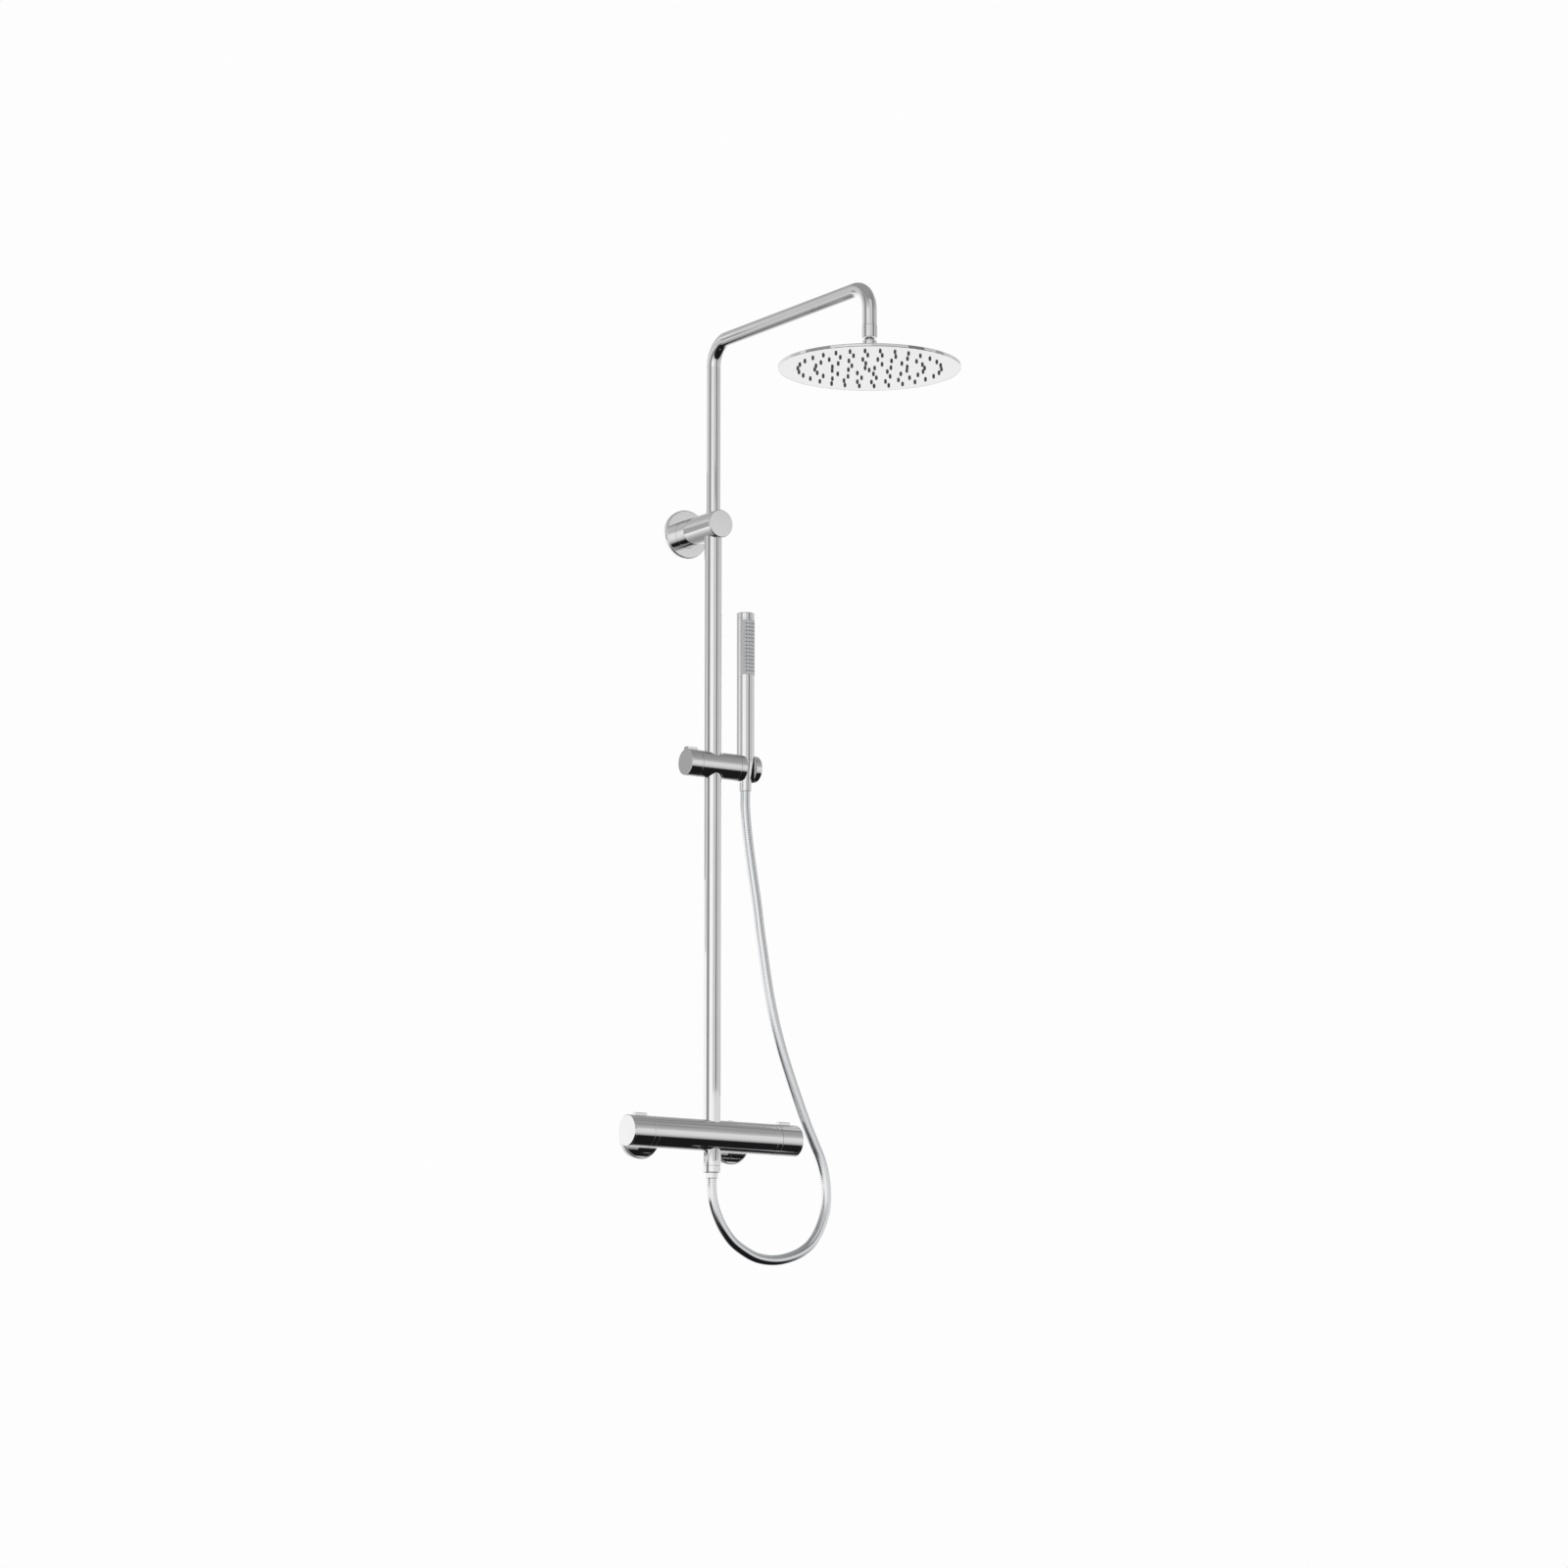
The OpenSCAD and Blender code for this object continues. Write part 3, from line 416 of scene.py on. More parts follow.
floor_mesh = bpy.data.meshes.new("floor")
floor_z = cad_low.z - FLOOR_DROP
floor_mesh.from_pydata([(x * FLOOR_REACH, y * FLOOR_REACH, floor_z)
    for x, y in ((-1, -1), (1, -1), (1, 1), (-1, 1))], [], [(0, 1, 2, 3)])
paper, tree = new_material("pale_paper")
where = add(tree, "ShaderNodeTexCoord")
grain = add(tree, "ShaderNodeTexNoise", Vector=where.outputs["Object"],
    Scale=1 / PAPER_GRAIN, Detail=2.0)
shade = add(tree, "ShaderNodeMix", {"data_type": "RGBA"}, Factor=grain.outputs["Fac"],
    i6=linear("#F1F1F0"), i7=linear("#F4F4F3"))
matt = add(tree, "ShaderNodeBsdfPrincipled", Base_Color=shade.outputs[2], Roughness=0.9,
    Emission_Color=linear("#FFFFFF"), Emission_Strength=FLOOR_GLOW)
add(tree, "ShaderNodeOutputMaterial", Surface=matt.outputs[0])
floor_mesh.materials.append(paper)
floor = bpy.data.objects.new("floor", floor_mesh)
scene.collection.objects.link(floor)
floor.visible_glossy = False
floor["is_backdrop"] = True
print("floor at z", round(floor_z, 3))

# %% [markdown]
# The other finishes are simpler. Moulded plastics, silicone and rubber take their look from the
# mould: a fine spark-eroded grain, a tenth to half a millimetre wide, that breaks up the
# highlight, and a slow change of tone where the melt cooled. One function with those two
# noises makes each of them. The IOR of each is near 1.5, where the shader starts.
# %% Moulded finishes
def moulded(name, light, dark, roughness, grain_mm, relief):
    material, tree = new_material(name)
    place = add(tree, "ShaderNodeTexCoord").outputs["Object"]
    flow = add(tree, "ShaderNodeTexNoise", Vector=place, Scale=1 / (9 * MM), Detail=2.0)
    tone = add(tree, "ShaderNodeMix", {"data_type": "RGBA"}, Factor=flow.outputs["Fac"],
        i6=linear(light), i7=linear(dark))
    grain = add(tree, "ShaderNodeTexNoise", Vector=place, Scale=1 / (grain_mm * MM), Detail=2.0)
    gloss = add(tree, "ShaderNodeMapRange", Value=grain.outputs["Fac"], To_Min=roughness - 0.05,
        To_Max=roughness + 0.08)
    bump = add(tree, "ShaderNodeBump", Strength=relief, Distance=0.05 * MM,
        Height=grain.outputs["Fac"])
    shader = add(tree, "ShaderNodeBsdfPrincipled", Base_Color=tone.outputs[2],
        Roughness=gloss.outputs[0], Normal=bump.outputs[0])
    add(tree, "ShaderNodeOutputMaterial", Surface=shader.outputs[0])
    return material


silicone = moulded("grey_silicone_rubber", "#5C5E61", "#4C4E51", 0.5, 0.5, 0.2)
spray_face = moulded("satin_grey_abs", "#CDCED0", "#C2C3C5", 0.38, 0.5, 0.25)
cartridge_plastic = moulded("black_glass_filled_nylon", "#2B2D2F", "#1F2022", 0.45, 0.3, 0.4)
acetal = moulded("white_acetal", "#E8E6DE", "#DCD9CF", 0.32, 0.4, 0.15)
rubber = moulded("black_epdm_rubber", "#1B1B1C", "#121213", 0.6, 0.3, 0.3)
print("made", silicone.name, spray_face.name, cartridge_plastic.name, acetal.name, rubber.name)

# %% [markdown]
# Brass and steel here are turned or drawn, and left as machined: the cutter leaves fine lines
# along its path. Noise stretched hard in one direction gives those lines. They are drawn about
# 0.3 mm apart, coarser than a real cut of 0.1 mm, so that they still show. The spray plate
# is the same steel polished after pressing, so its lines are faint and it is nearly a mirror.
# %% Machined metals
def machined(name, light, dark, roughness, relief, stretch):
    material, tree = new_material(name)
    place = add(tree, "ShaderNodeTexCoord").outputs["Object"]
    drawn = add(tree, "ShaderNodeMapping", Vector=place, Scale=stretch)
    lines = add(tree, "ShaderNodeTexNoise", Vector=drawn.outputs[0], Scale=1 / (0.3 * MM),
        Detail=2.0)
    tone = add(tree, "ShaderNodeMix", {"data_type": "RGBA"}, Factor=lines.outputs["Fac"],
        i6=linear(light), i7=linear(dark))
    gloss = add(tree, "ShaderNodeMapRange", Value=lines.outputs["Fac"], To_Min=roughness - 0.03,
        To_Max=roughness + 0.06)
    bump = add(tree, "ShaderNodeBump", Strength=relief, Distance=0.05 * MM,
        Height=lines.outputs["Fac"])
    shader = add(tree, "ShaderNodeBsdfPrincipled", Base_Color=tone.outputs[2], Metallic=1.0,
        Roughness=gloss.outputs[0], Normal=bump.outputs[0])
    add(tree, "ShaderNodeOutputMaterial", Surface=shader.outputs[0])
    return material


brass = machined("turned_brass", "#D9B86A", "#C9A552", 0.28, 0.15, (1.0, 1.0, 0.1))
steel = machined("drawn_stainless_steel", "#C9CACB", "#B5B7B9", 0.30, 0.15, (0.1, 1.0, 1.0))
spray_steel = machined("polished_stainless_steel", "#F6F6F7", "#F0F0F1", 0.07, 0.02,
    (1.0, 1.0, 1.0))
print("made", brass.name, steel.name, spray_steel.name)

# %% [markdown]
# Most of a shower column is turned or drawn from round brass: bars, tubes, nuts, roses and caps.
# Such a piece is one profile spun about an axis. What the eye reads as a real edge is its small
# radius, left by polishing, so every corner in a profile may carry one, and
# it catches a thin line of light. The profile is written in millimetres as radius, height and
# corner radius, and a closed one makes a hollow piece.
# %% Spin a profile
def round_corners(profile, steps=5):
    line = []
    for i, corner in enumerate(profile):
        point = np.array(corner[:2], float)
        radius = corner[2] if len(corner) > 2 else 0
        if not radius:
            line.append(point)
            continue
        back = np.array(profile[i - 1][:2], float) - point
        onward = np.array(profile[(i + 1) % len(profile)][:2], float) - point
        back, onward = back / np.linalg.norm(back), onward / np.linalg.norm(onward)
        half = math.acos(np.clip(np.dot(back, onward), -1, 1)) / 2
        middle_way = (back + onward) / np.linalg.norm(back + onward)
        centre = point + middle_way * radius / math.sin(half)
        first = point + back * radius / math.tan(half) - centre
        last = point + onward * radius / math.tan(half) - centre
        sweep = math.pi - 2 * half
        for t in np.linspace(0, 1, steps + 1):
            line.append(centre + (math.sin((1 - t) * sweep) * first + math.sin(t * sweep) * last)
                / math.sin(sweep))
    return line


def spun(profile, axis="Z", at=(0, 0, 0), closed=True, sides=128):
    line = round_corners(profile)
    turn = np.arange(sides) * 2 * math.pi / sides
    verts, rings, faces = [], [], []
    for radius, height in line:
        count = 1 if radius < 1e-6 else sides
        rings.append(range(len(verts), len(verts) + count))
        for t in turn[:count]:
            c, s = radius * math.cos(t), radius * math.sin(t)
            spot = {"X": (height, c, s), "Y": (s, height, c), "Z": (c, s, height)}[axis]
            verts.append(tuple((p + q) * MM for p, q in zip(spot, at)))
    pairs = list(zip(rings, rings[1:])) + ([(rings[-1], rings[0])] if closed else [])
    for a, b in pairs:
        for k in range(sides):
            n = (k + 1) % sides
            corners = dict.fromkeys((a[k % len(a)], a[n % len(a)], b[n % len(b)], b[k % len(b)]))
            if len(corners) > 2:
                faces.append(tuple(corners))
    mesh = bpy.data.meshes.new("spun")
    mesh.from_pydata(verts, [], faces)
    shape = bmesh.new()
    shape.from_mesh(mesh)
    bmesh.ops.recalc_face_normals(shape, faces=shape.faces)
    shape.to_mesh(mesh)
    shape.free()
    mesh.shade_smooth()
    return mesh


def block(low, high):
    mesh = bpy.data.meshes.new("block")
    shape = bmesh.new()
    bmesh.ops.create_cube(shape, size=1)
    for vert in shape.verts:
        vert.co = [(a if c < 0 else b) * MM for c, a, b in zip(vert.co, low, high)]
    shape.to_mesh(mesh)
    shape.free()
    return mesh


# %% [markdown]
# Where a tube passes through a fitting, or a slot is milled in it, the hole is cut as a workshop
# would: a tool shape is taken away from the blank by an exact boolean, and a fine bevel
# then breaks the new edges. A weighted-normal modifier keeps the flats flat, so that a mirror
# finish shows no false bulge beside the rounded corners.
# %% Cut, join and place
def shaped(blank, *tools, how="DIFFERENCE"):
    thing = bpy.data.objects.new("blank", blank)
    scene.collection.objects.link(thing)
    helpers = [thing]
    for tool in tools:
        helper = bpy.data.objects.new("tool", tool)
        scene.collection.objects.link(helper)
        helpers.append(helper)
        step = thing.modifiers.new("cut", "BOOLEAN")
        step.operation, step.object, step.solver = how, helper, "EXACT"
    result = bpy.data.meshes.new_from_object(
        thing.evaluated_get(bpy.context.evaluated_depsgraph_get()))
    for helper in helpers:
        bpy.data.objects.remove(helper)
    result.shade_smooth()
    result.set_sharp_from_angle(angle=math.radians(32))
    return result


def fitting(name, mesh, material, body, slot, *nodes, edge=0.0):
    mesh.name = name
    piece = link_piece(name, mesh, material, body, nodes)
    if edge:
        bevel = piece.modifiers.new("broken edges", "BEVEL")
        bevel.width, bevel.segments = edge * MM, 2
        bevel.limit_method, bevel.angle_limit = "ANGLE", math.radians(40)
    flats = piece.modifiers.new("flat flats", "WEIGHTED_NORMAL")
    flats.weight, flats.keep_sharp = 80, True
    return piece


def reach(node, axis):
    low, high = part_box(node)
    return low["XYZ".index(axis)] / MM, high["XYZ".index(axis)] / MM


def radius_of(node, axis="X"):
    low, high = reach(node, axis)
    return (high - low) / 2


ON_BAR = (0, axis_y / MM, 0)
print("axis of the bar and riser, mm:", [round(v, 1) for v in ON_BAR])

# %% [markdown]
# The lower riser is a drawn brass tube. The bar mixer under it is a casting turned to one diameter
# from end to end, with two short bosses at the back for the wall unions. Between the bar
# and each knob sits a ring, and its joints show as two hairlines round the bar.
# %% Riser, bar and rings
TUBE_WALL = 1.5
INLET_X = 75

riser_low, riser_top = reach("lower_riser_tube", "Z")
riser_r = radius_of("lower_riser_tube")
fitting("riser_tube", spun([(riser_r - TUBE_WALL, riser_low), (riser_r, riser_low),
    (riser_r, riser_top, 0.4), (riser_r - TUBE_WALL, riser_top)], "Z", ON_BAR), chrome, "mixer",
    "chrome", "lower_riser_tube")

bar_end = reach("mixer_body", "X")[1]
bar_r = radius_of("temperature_scale_ring", "Z")
bore_r, bore_depth, waterway_r = 17.05, 44, 9
boss_back = reach("mixer_body", "Y")[1]
bar = spun([(waterway_r, bore_depth - bar_end), (bore_r, bore_depth - bar_end),
    (bore_r, -bar_end), (bar_r, -bar_end, 0.5), (bar_r, bar_end, 0.5), (bore_r, bar_end),
    (bore_r, bar_end - bore_depth), (waterway_r, bar_end - bore_depth)], "X", ON_BAR)
inlets = [(side * INLET_X, 0, 0) for side in (-1, 1)]
boss_r, thread_r, thread_start = 16, 13.2, boss_back - 4
boss_root = axis_y / MM + bore_r + 0.5
bosses = [spun([(0, boss_root), (boss_r, boss_root), (boss_r, thread_start, 0.5),
    (thread_r, thread_start), (thread_r, boss_back, 0.5), (0, boss_back)],
    "Y", at, closed=False, sides=96) for at in inlets]
socket_r = riser_r + 0.25
sockets = [spun([(0, side * 18), (socket_r, side * 18), (socket_r, side * 30), (0, side * 30)],
    "Z", ON_BAR, closed=False) for side in (1, -1)]
fitting("mixer_bar", shaped(shaped(bar, *bosses, how="UNION"), *sockets), chrome, "mixer",
    "chrome", "mixer_body", edge=0.25)
ring_bore_r = 13.05
for name, side in (("flow_scale_ring", -1), ("temperature_scale_ring", 1)):
    start, end = sorted(abs(x) for x in reach(name, "X"))
    fitting(name + "_turned", spun([(ring_bore_r, side * start), (bar_r, side * start, 0.8),
        (bar_r, side * end, 0.8), (ring_bore_r, side * end)], "X", ON_BAR), chrome, "mixer",
        "chrome", name)
print(f"bar {2 * bar_end:.0f} mm long between the rings, {2 * bar_r:.0f} mm in diameter")

# %% [markdown]
# Each knob is a thin chromed cup on a hub, closed by a polished cap, and its stop button stands
# proud in a slot on top. The button follows the knob's curve, so it is an arc pushed along the
# bar, with all its edges rounded.
# %% Knobs, caps and buttons
BUTTON_HALF = 5
BUTTON_FLANGE = 1.5
KNOB_WALL = 3


def stop_button(side):
    out_low, out_high = sorted(abs(x) for x in reach("safety_stop_button", "X"))
    x0, x1 = out_low + BUTTON_FLANGE, out_high - BUTTON_FLANGE
    low_z, crown = reach("safety_stop_button", "Z")
    foot = low_z + BUTTON_FLANGE
    section = [(-BUTTON_HALF, foot)] + [(y, math.sqrt(crown ** 2 - y ** 2))
        for y in np.linspace(-BUTTON_HALF, BUTTON_HALF, 13)] + [(BUTTON_HALF, foot)]
    mesh = bpy.data.meshes.new("button")
    shape = bmesh.new()
    ends = [[shape.verts.new((side * x * MM, axis_y + y * MM, z * MM)) for y, z in section]
        for x in (x0, x1)]
    shape.faces.new(ends[0])
    shape.faces.new(ends[1])
    for k in range(len(section)):
        n = (k + 1) % len(section)
        shape.faces.new((ends[0][k], ends[0][n], ends[1][n], ends[1][k]))
    ends_x = sorted((side * out_low, side * out_high))
    half = BUTTON_HALF + BUTTON_FLANGE
    shape.from_mesh(block((ends_x[0], axis_y / MM - half, low_z),
        (ends_x[1], axis_y / MM + half, foot)))
    bmesh.ops.recalc_face_normals(shape, faces=shape.faces)
    shape.to_mesh(mesh)
    shape.free()
    mesh.shade_smooth()
    mesh.set_sharp_from_angle(angle=math.radians(32))
    return mesh


for side, knob, button in ((-1, "flow_knob", "eco"), (1, "temperature_knob", "safety")):
    start, end = sorted(abs(x) for x in reach(knob, "X"))
    tip = max(abs(x) for x in reach(knob + "_cap", "X"))
    inner_r, screw_r, spindle_r, hub_r = bar_r - KNOB_WALL, 2.2, 4.55, 8
    cup = spun([(inner_r, side * start), (bar_r, side * start, 0.5), (bar_r, side * end, 0.3),
        (screw_r, side * end), (screw_r, side * (end - 8)), (spindle_r, side * (end - 8)),
        (spindle_r, side * (start + KNOB_WALL)), (hub_r, side * (start + KNOB_WALL)),
        (hub_r, side * (end - KNOB_WALL)), (inner_r, side * (end - KNOB_WALL))], "X", ON_BAR)
    b0, b1 = sorted(abs(x) for x in reach(button + "_stop_button", "X"))
    slot_x = sorted((side * (b0 + 1.2), side * (b1 - 1.2)))
    slot_half = BUTTON_HALF + 0.3
    slot = block((slot_x[0], axis_y / MM - slot_half, 12),
        (slot_x[1], axis_y / MM + slot_half, 30))
    fitting(knob + "_cup", shaped(cup, slot), chrome, knob, "chrome", knob, edge=0.2)
    fitting(knob + "_face", spun([(0, side * (tip - 1.4)), (4.5, side * (tip - 1.4)),
        (4.5, side * end), (bar_r, side * end, 0.3), (bar_r, side * tip, 1.1), (0, side * tip)],
        "X", ON_BAR, closed=False), chrome, knob, "chrome", knob + "_cap")
    fitting(button + "_button_key", stop_button(side), chrome, button + "_button", "chrome",
        button + "_stop_button", edge=0.7)
print("made two knobs with their caps and buttons")

# %% [markdown]
# Round cover plates, called roses, hide the holes in the wall. They are pressed from sheet, so
# the edge towards the room is softly rounded. The bracket's arm is a solid bar with a hole down
# through it, where the riser and the telescopic arm meet.
# %% Roses and bracket
ROSE_WALL = 2

rose_r = radius_of("bracket_rose", "X")
inlet_rose_r, inlet_hole_r = rose_r - 4, 10.3
inlet_front = reach("inlet_roses", "Y")[0]
for number, at in enumerate(inlets, 1):
    fitting(f"inlet_rose_{number}", spun([(inlet_hole_r, inlet_front, 0.3),
        (inlet_rose_r, inlet_front, 1.6), (inlet_rose_r, 0), (inlet_rose_r - ROSE_WALL, 0),
        (inlet_rose_r - ROSE_WALL, -7.5, 1.0), (inlet_hole_r, -7.5)], "Y", at), chrome,
        "mixer", "chrome", "inlet_roses")

bracket_z = middle("bracket_arm").z / MM
bracket_r = radius_of("bracket_arm", "X")
bracket_front = reach("bracket_arm", "Y")[0]
AT_BRACKET = (0, 0, bracket_z)
stock = spun([(0, bracket_front), (bracket_r, bracket_front, 1.2), (bracket_r, -4),
    (14.05, -4), (14.05, -24), (0, -24)], "Y", AT_BRACKET, closed=False)
hole = spun([(0, bracket_z - 30), (riser_r + 0.15, bracket_z - 30), (riser_r + 0.15, riser_top),
    (10.5, riser_top), (10.5, bracket_z + 30), (0, bracket_z + 30)], "Z", ON_BAR, closed=False)
fitting("bracket_bar", shaped(stock, hole), chrome, "mixer", "chrome", "bracket_arm", edge=0.3)
cover_hole_r = bracket_r + 0.05
fitting("bracket_cover", spun([(cover_hole_r, -7, 0.3), (rose_r, -7, 1.6), (rose_r, 0),
    (rose_r - ROSE_WALL, 0), (rose_r - ROSE_WALL, -5, 1.0), (cover_hole_r, -5)], "Y",
    AT_BRACKET), chrome, "mixer", "chrome", "bracket_rose")
print(f"bracket at z {bracket_z:.0f} mm")

# %% [markdown]
# Under the bar the hose starts from a turned outlet with a plain round nut, and a ferrule that
# narrows towards the hose takes the strain of its bending.
# %% Hose outlet
fitting("outlet_neck", spun([(6, -8), (8.5, -8), (8.5, -18), (12.5, -18), (12.5, -42.5, 0.4),
    (10.48, -42.5), (10.48, -47.5, 0.3), (6, -47.5)], "Z", ON_BAR), chrome, "mixer", "chrome",
    "hose_nipple")
fitting("outlet_nut", spun([(10.53, -42.5), (12.5, -42.5, 0.4), (12.5, -52, 0.9), (7.75, -52),
    (7.75, -50.5), (10.53, -50.5)], "Z", ON_BAR), chrome, "mixer", "chrome", "hose_outlet_nut")
fitting("outlet_ferrule", spun([(5, -49), (9.8, -49), (9.8, -50.5), (7.6, -50.5), (7.6, -52),
    (9, -52, 0.3), (8.4, -60, 0.8), (5, -60)], "Z", ON_BAR), chrome, "mixer", "chrome",
    "hose_ferrule")

# %% [markdown]
# The shower arm is a smaller tube that slides in the riser, with two bends of 35 mm radius. It is
# made like the hose, from rings along a path, but it has a bore: the rings run up the
# outside and come back down the inside, so the wall is real. A collar at its foot stops it
# from being pulled out.
# %% Shower arm
def bent_tube(path, side, outside, inside):
    frames = ring_frames(path, side)
    sides = 96
    turn = np.arange(sides) * 2 * math.pi / sides
    order = list(range(len(path)))
    rings = [(i, outside[i]) for i in order] + [(i, inside) for i in reversed(order)]
    verts = [tuple(path[i] + r * (frames[i][0] * math.cos(t) + frames[i][1] * math.sin(t)))
        for i, r in rings for t in turn]
    total = len(rings)
    faces = [(i * sides + k, i * sides + (k + 1) % sides,
        (i + 1) % total * sides + (k + 1) % sides, (i + 1) % total * sides + k)
        for i in range(total) for k in range(sides)]
    mesh = bpy.data.meshes.new("bent")
    mesh.from_pydata(verts, [], faces)
    shape = bmesh.new()
    shape.from_mesh(mesh)
    bmesh.ops.recalc_face_normals(shape, faces=shape.faces)
    shape.to_mesh(mesh)
    shape.free()
    mesh.shade_smooth()
    mesh.set_sharp_from_angle(angle=math.radians(32))
    return mesh


arm_foot = reach("shower_arm_tube", "Z")[0] * MM
arm_r = radius_of("shower_arm_tube") * MM - 0.8 * MM
bend_r = 35 * MM
arm_z = arm_top - arm_r
drop_end = reach("swivel_nut", "Z")[1] * MM
path = [(0, axis_y, z) for z in (arm_foot, arm_foot + 4 * MM, arm_foot + 4.01 * MM,
    arm_z - bend_r - 1 * MM)]
path += [(0, axis_y - bend_r * (1 - math.cos(a)), arm_z - bend_r + bend_r * math.sin(a))
    for a in np.linspace(0, math.pi / 2, 25)]
path += [(0, drop_y + bend_r * (1 - math.cos(a)), arm_z - bend_r + bend_r * math.sin(a))
    for a in np.linspace(math.pi / 2, 0, 25)]
path += [(0, drop_y, arm_z - bend_r - 1 * MM), (0, drop_y, drop_end)]
stop_r = 10.8 * MM
outside = [stop_r, stop_r] + [arm_r] * (len(path) - 2)
fitting("shower_arm", bent_tube([np.array(p) for p in path], np.array((1.0, 0, 0)), outside,
    arm_r - TUBE_WALL * MM), chrome, "arm", "chrome", "shower_arm_tube")
print(f"arm tube {2 * arm_r / MM:.1f} mm in diameter, top at z {arm_top:.3f}")

# %% [markdown]
# The overhead shower hangs on a ball, held in a slim round nut, and a trumpet-shaped hub spreads
# its load on the disc, which is a thin pressed shell.
# %% Overhead shower
AT_DROP = (0, drop_y / MM, 0)
ball_z = middle("swivel_nut").z / MM - 1
nut_low, nut_high = reach("swivel_nut", "Z")
nut_r = radius_of("swivel_nut")
fitting("swivel_collar", spun([(7, nut_low), (nut_r, nut_low, 0.9), (nut_r, nut_high, 0.9),
    (8.65, nut_high), (8.65, ball_z), (8.41, ball_z - 2), (7.67, ball_z - 4), (7, ball_z - 5.1)],
    "Z", AT_DROP), chrome, "arm", "chrome", "swivel_nut")
hub_foot, hub_top = reach("head_hub", "Z")
hub_r = radius_of("head_hub")
fitting("shower_hub", spun([(3.8, hub_top), (10, hub_top, 0.8), (10, hub_foot + 18, 4),
    (11.5, hub_foot + 14, 4), (18, hub_foot + 5, 2), (hub_r, hub_foot + 3.5, 0.6),
    (hub_r, hub_foot), (6.05, hub_foot), (6.05, hub_top - 3.95), (3.8, hub_top - 3.95)], "Z",
    AT_DROP), chrome, "overhead_shower", "chrome", "head_hub")
head_low, head_high = reach("head_top_shell", "Z")
head_r = radius_of("head_top_shell")
fitting("shower_shell", spun([(6.1, head_high), (22, head_high, 6), (head_r, head_low + 4, 0.9),
    (head_r, head_low, 0.5), (head_r - 1.2, head_low), (head_r - 1.2, head_low + 2.8),
    (22, head_high - 1.2), (6.1, head_high - 1.2)], "Z", AT_DROP, sides=192), chrome,
    "overhead_shower", "chrome", "head_top_shell")

# %% [markdown]
# A polished spray plate closes the shell from below. The silicone nozzles are pushed through it in
# five rings. A nozzle is wider at its root, so it can be rubbed clean without pulling out. Each
# ring is given as its share of the disc's radius, its number of nozzles and its first angle.
# %% Spray plate and nozzles
NOZZLE_RINGS = [(0.784, 30, 2.4), (0.6, 24, 6.7), (0.416, 16, 0), (0.236, 8, 0), (0.06, 3, 30)]
fitting("shower_spray_plate", spun([(0, head_low), (head_r - 1.3, head_low, 0.3),
    (head_r - 1.3, head_low + 1.5), (0, head_low + 1.5)], "Z", AT_DROP, closed=False, sides=192),
    spray_steel, "overhead_shower", "spray_plate", "head_spray_plate")


def nozzle_at(x, y, tip, root, length):
    return spun([(0.6, head_low - length + 0.7), (0.6, head_low - length),
        (tip, head_low - length, 0.4), (root, head_low - 0.3), (root, head_low + 1.2),
        (0.6, head_low + 1.2)], "Z", (x, drop_y / MM + y, 0), sides=24)


nozzle_low = reach("head_nozzles", "Z")[0]
shape = bmesh.new()
for share, count, first in NOZZLE_RINGS:
    for k in range(count):
        turn = math.radians(90 - first - 360 * k / count)
        shape.from_mesh(nozzle_at(share * head_r * math.cos(turn), share * head_r *
            math.sin(turn), 1.5, 2.0, head_low - nozzle_low))
nozzles = bpy.data.meshes.new("nozzles")
shape.to_mesh(nozzles)
shape.free()
nozzles.shade_smooth()
fitting("shower_nozzles", nozzles, silicone, "overhead_shower", "nozzle_silicone",
    "head_nozzles")
print("nozzles:", sum(ring[1] for ring in NOZZLE_RINGS))

# %% [markdown]
# The slider is a short bar across the riser in three parts. The left one is the clamp knob, with
# a thumb tab; the middle one has the hole for the riser; and the right one is the cradle that
# tips with the hand shower, with a slot in front to let the hose through.
# %% Slider
slide_z = slider_z / MM
ON_SLIDER = (0, axis_y / MM, slide_z)
TOOL_REACH = 30
barrel_r = radius_of("slider_barrel", "Z")
clamp_left, clamp_right = reach("clamp_knob", "X")
barrel_end = reach("slider_barrel", "X")[1]
cradle_right = reach("holder_cradle", "X")[1]
middle_bar = spun([(4.05, clamp_right - 9), (9, clamp_right - 9, 0.4), (9, clamp_right + 0.3),
    (barrel_r, clamp_right + 0.3, 0.5), (barrel_r, barrel_end, 0.5), (7.05, barrel_end),
    (7.05, 20), (4.8, 20), (4.8, -19), (4.05, -19)], "X", ON_SLIDER)
way_r = 14.7
riser_way = spun([(0, -TOOL_REACH), (way_r, -TOOL_REACH), (way_r, TOOL_REACH), (0, TOOL_REACH)],
    "Z", ON_SLIDER, closed=False)
fitting("slider_bar", shaped(middle_bar, riser_way), chrome, "slider", "chrome",
    "slider_barrel", edge=0.35)

knob_blank = spun([(0, clamp_left + 2.5), (4.05, clamp_left + 2.5), (4.05, clamp_right - 9.3),
    (9.05, clamp_right - 9.3), (9.05, clamp_right), (barrel_r, clamp_right, 0.5),
    (barrel_r, clamp_left, 1.2), (0, clamp_left)], "X", ON_SLIDER, closed=False)
tab_top = reach("clamp_knob", "Z")[1] - slide_z
tab = shaped(block((clamp_left + 1, axis_y / MM - 5, slide_z + 12),
    (clamp_right - 1, axis_y / MM + 5, slide_z + 30)), spun([(0, clamp_left - 1),
    (tab_top, clamp_left - 1), (tab_top, clamp_right + 1), (0, clamp_right + 1)], "X", ON_SLIDER,
    closed=False), how="INTERSECT")
fitting("clamp_knob_grip", shaped(knob_blank, tab, how="UNION"), chrome, "clamp_knob", "chrome",
    "clamp_knob", edge=0.6)

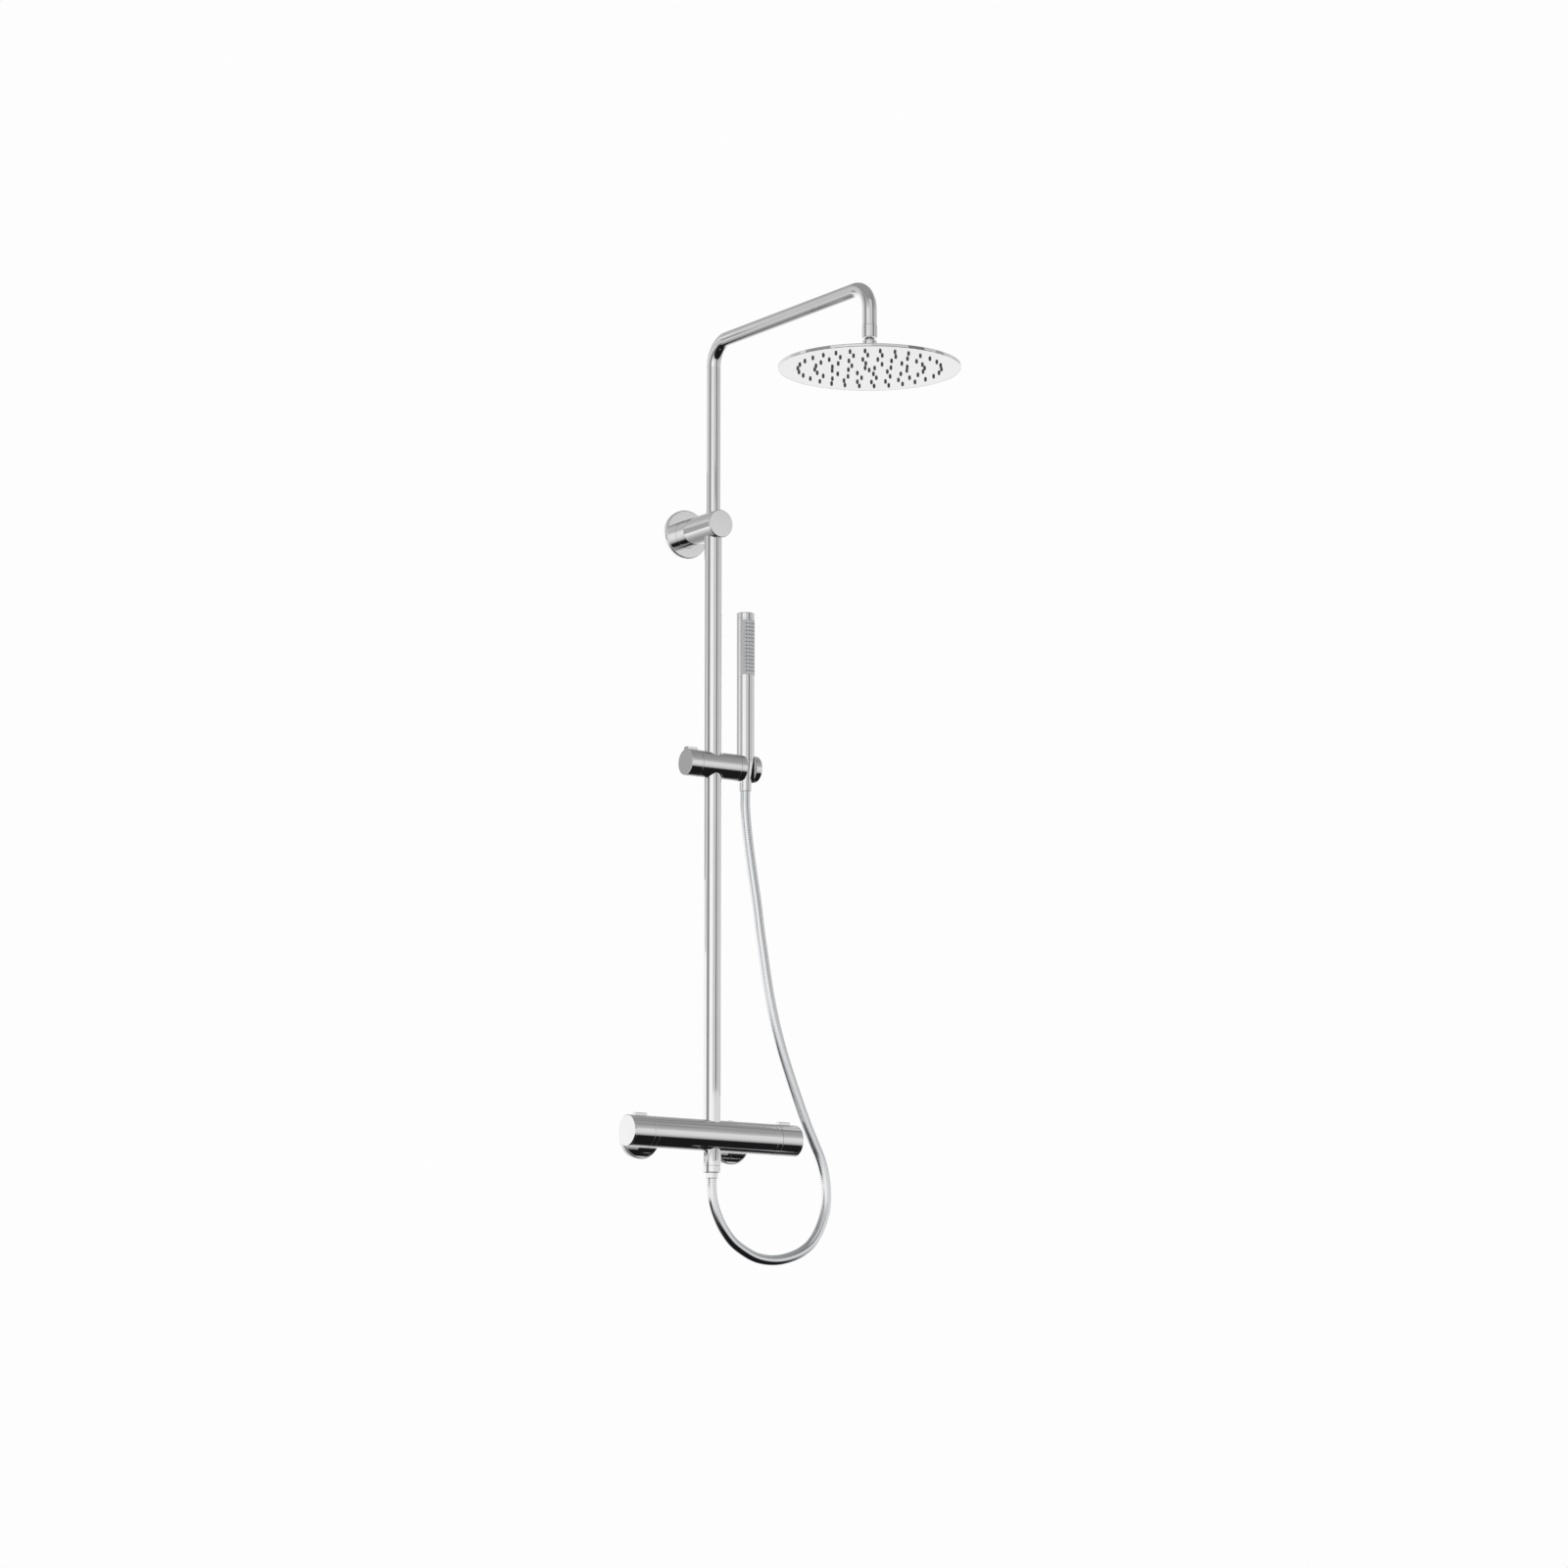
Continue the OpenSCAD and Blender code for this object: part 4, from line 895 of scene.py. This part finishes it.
cradle_face = barrel_end + 0.3
cradle = spun([(0, cradle_face - 17), (7, cradle_face - 17, 0.5), (7, cradle_face),
    (barrel_r, cradle_face, 0.5), (barrel_r, cradle_right, 1.2), (0, cradle_right)], "X",
    ON_SLIDER, closed=False)
hose_x = holder_x / MM
seat_r, slot_half = 14.05, 7.8
seat = spun([(0, -TOOL_REACH), (seat_r, -TOOL_REACH), (seat_r, TOOL_REACH), (0, TOOL_REACH)],
    "Z", (hose_x, axis_y / MM, slide_z), closed=False)
slot = block((hose_x - slot_half, axis_y / MM - TOOL_REACH, slide_z - TOOL_REACH),
    (hose_x + slot_half, axis_y / MM, slide_z + TOOL_REACH))
fitting("holder_cup", shaped(cradle, seat, slot), chrome, "holder", "chrome", "holder_cradle",
    edge=0.4)
print(f"slider at z {slide_z:.0f} mm, {cradle_right - clamp_left:.0f} mm across")

# %% [markdown]
# The hand shower is a plain stick: a chromed tube with a window for the grey spray face, a cap on
# top, and the hose's cone nut below, which sits in the cradle.
# %% Hand shower
AT_STICK = (hose_x, axis_y / MM, 0)
stick_low, stick_high = reach("handset_shell", "Z")
stick_r = radius_of("handset_shell")
stick_bore_r = stick_r - 2
tube = spun([(stick_bore_r, stick_low), (stick_r, stick_low, 0.25), (stick_r, stick_high, 0.3),
    (stick_bore_r, stick_high)], "Z", AT_STICK)
face_low, face_high = reach("spray_insert", "Z")
window = block((hose_x - 10, axis_y / MM - 30, face_low - 0.2),
    (hose_x + 10, axis_y / MM, face_high + 0.2))
fitting("stick_tube", shaped(tube, window), chrome, "handset", "chrome", "handset_shell",
    edge=0.2)
cap_top = reach("handset_cap", "Z")[1]
fitting("stick_cap", spun([(0, stick_high), (stick_r, stick_high, 0.3), (stick_r, cap_top, 1.3),
    (0, cap_top)], "Z", AT_STICK, closed=False), chrome, "handset", "chrome", "handset_cap")
cone_low = reach("hose_cone_nut", "Z")[0]
fitting("cone_nut", spun([(4.5, cone_low), (8.75, cone_low, 0.7), (8.75, cone_low + 12, 8),
    (stick_r, stick_low, 0.25), (10.53, stick_low), (10.53, stick_low - 12),
    (4.5, stick_low - 12)], "Z", AT_STICK), chrome, "handset", "chrome", "hose_cone_nut")
print(f"stick {cap_top - stick_low:.0f} mm long above its nut")

# %% [markdown]
# The model's own solids are right for everything inside: cartridges, seals, bushes, springs and
# screws, and for the hexagon nuts and the spray face. Each takes the finish of what it is made of.
# %% Finishes for the remaining solids
USES = {
    chrome: "inlet_unions inlet_nuts ball_stud",
    brass: "riser_nipple arm_nipple clamp_plunger handset_connector flow_spindle "
        "temperature_spindle",
    cartridge_plastic: "thermostatic_cartridge diverter_cartridge check_valves riser_gland "
        "holder_liner",
    acetal: "column_guide_bush ball_seat_ring slider_guide_rings clamp_pad",
    rubber: "pipe_seals hose_washer ball_seal_ring",
    steel: "inlet_filters bracket_wall_plate bracket_grub_screw flow_knob_screw "
        "temperature_knob_screw eco_button_spring safety_button_spring",
    spray_face: "spray_insert",
    silicone: "spray_nozzles",
}
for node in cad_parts.values():
    node.data.materials.clear()
    node.data.materials.append(chrome)
for finish, names in USES.items():
    for name in names.split():
        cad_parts[name].data.materials.clear()
        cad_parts[name].data.materials.append(finish)
print("finished", len(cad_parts), "solids of the model")

low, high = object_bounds()
print("visual box", [round(v, 4) for v in (*low, *high)])
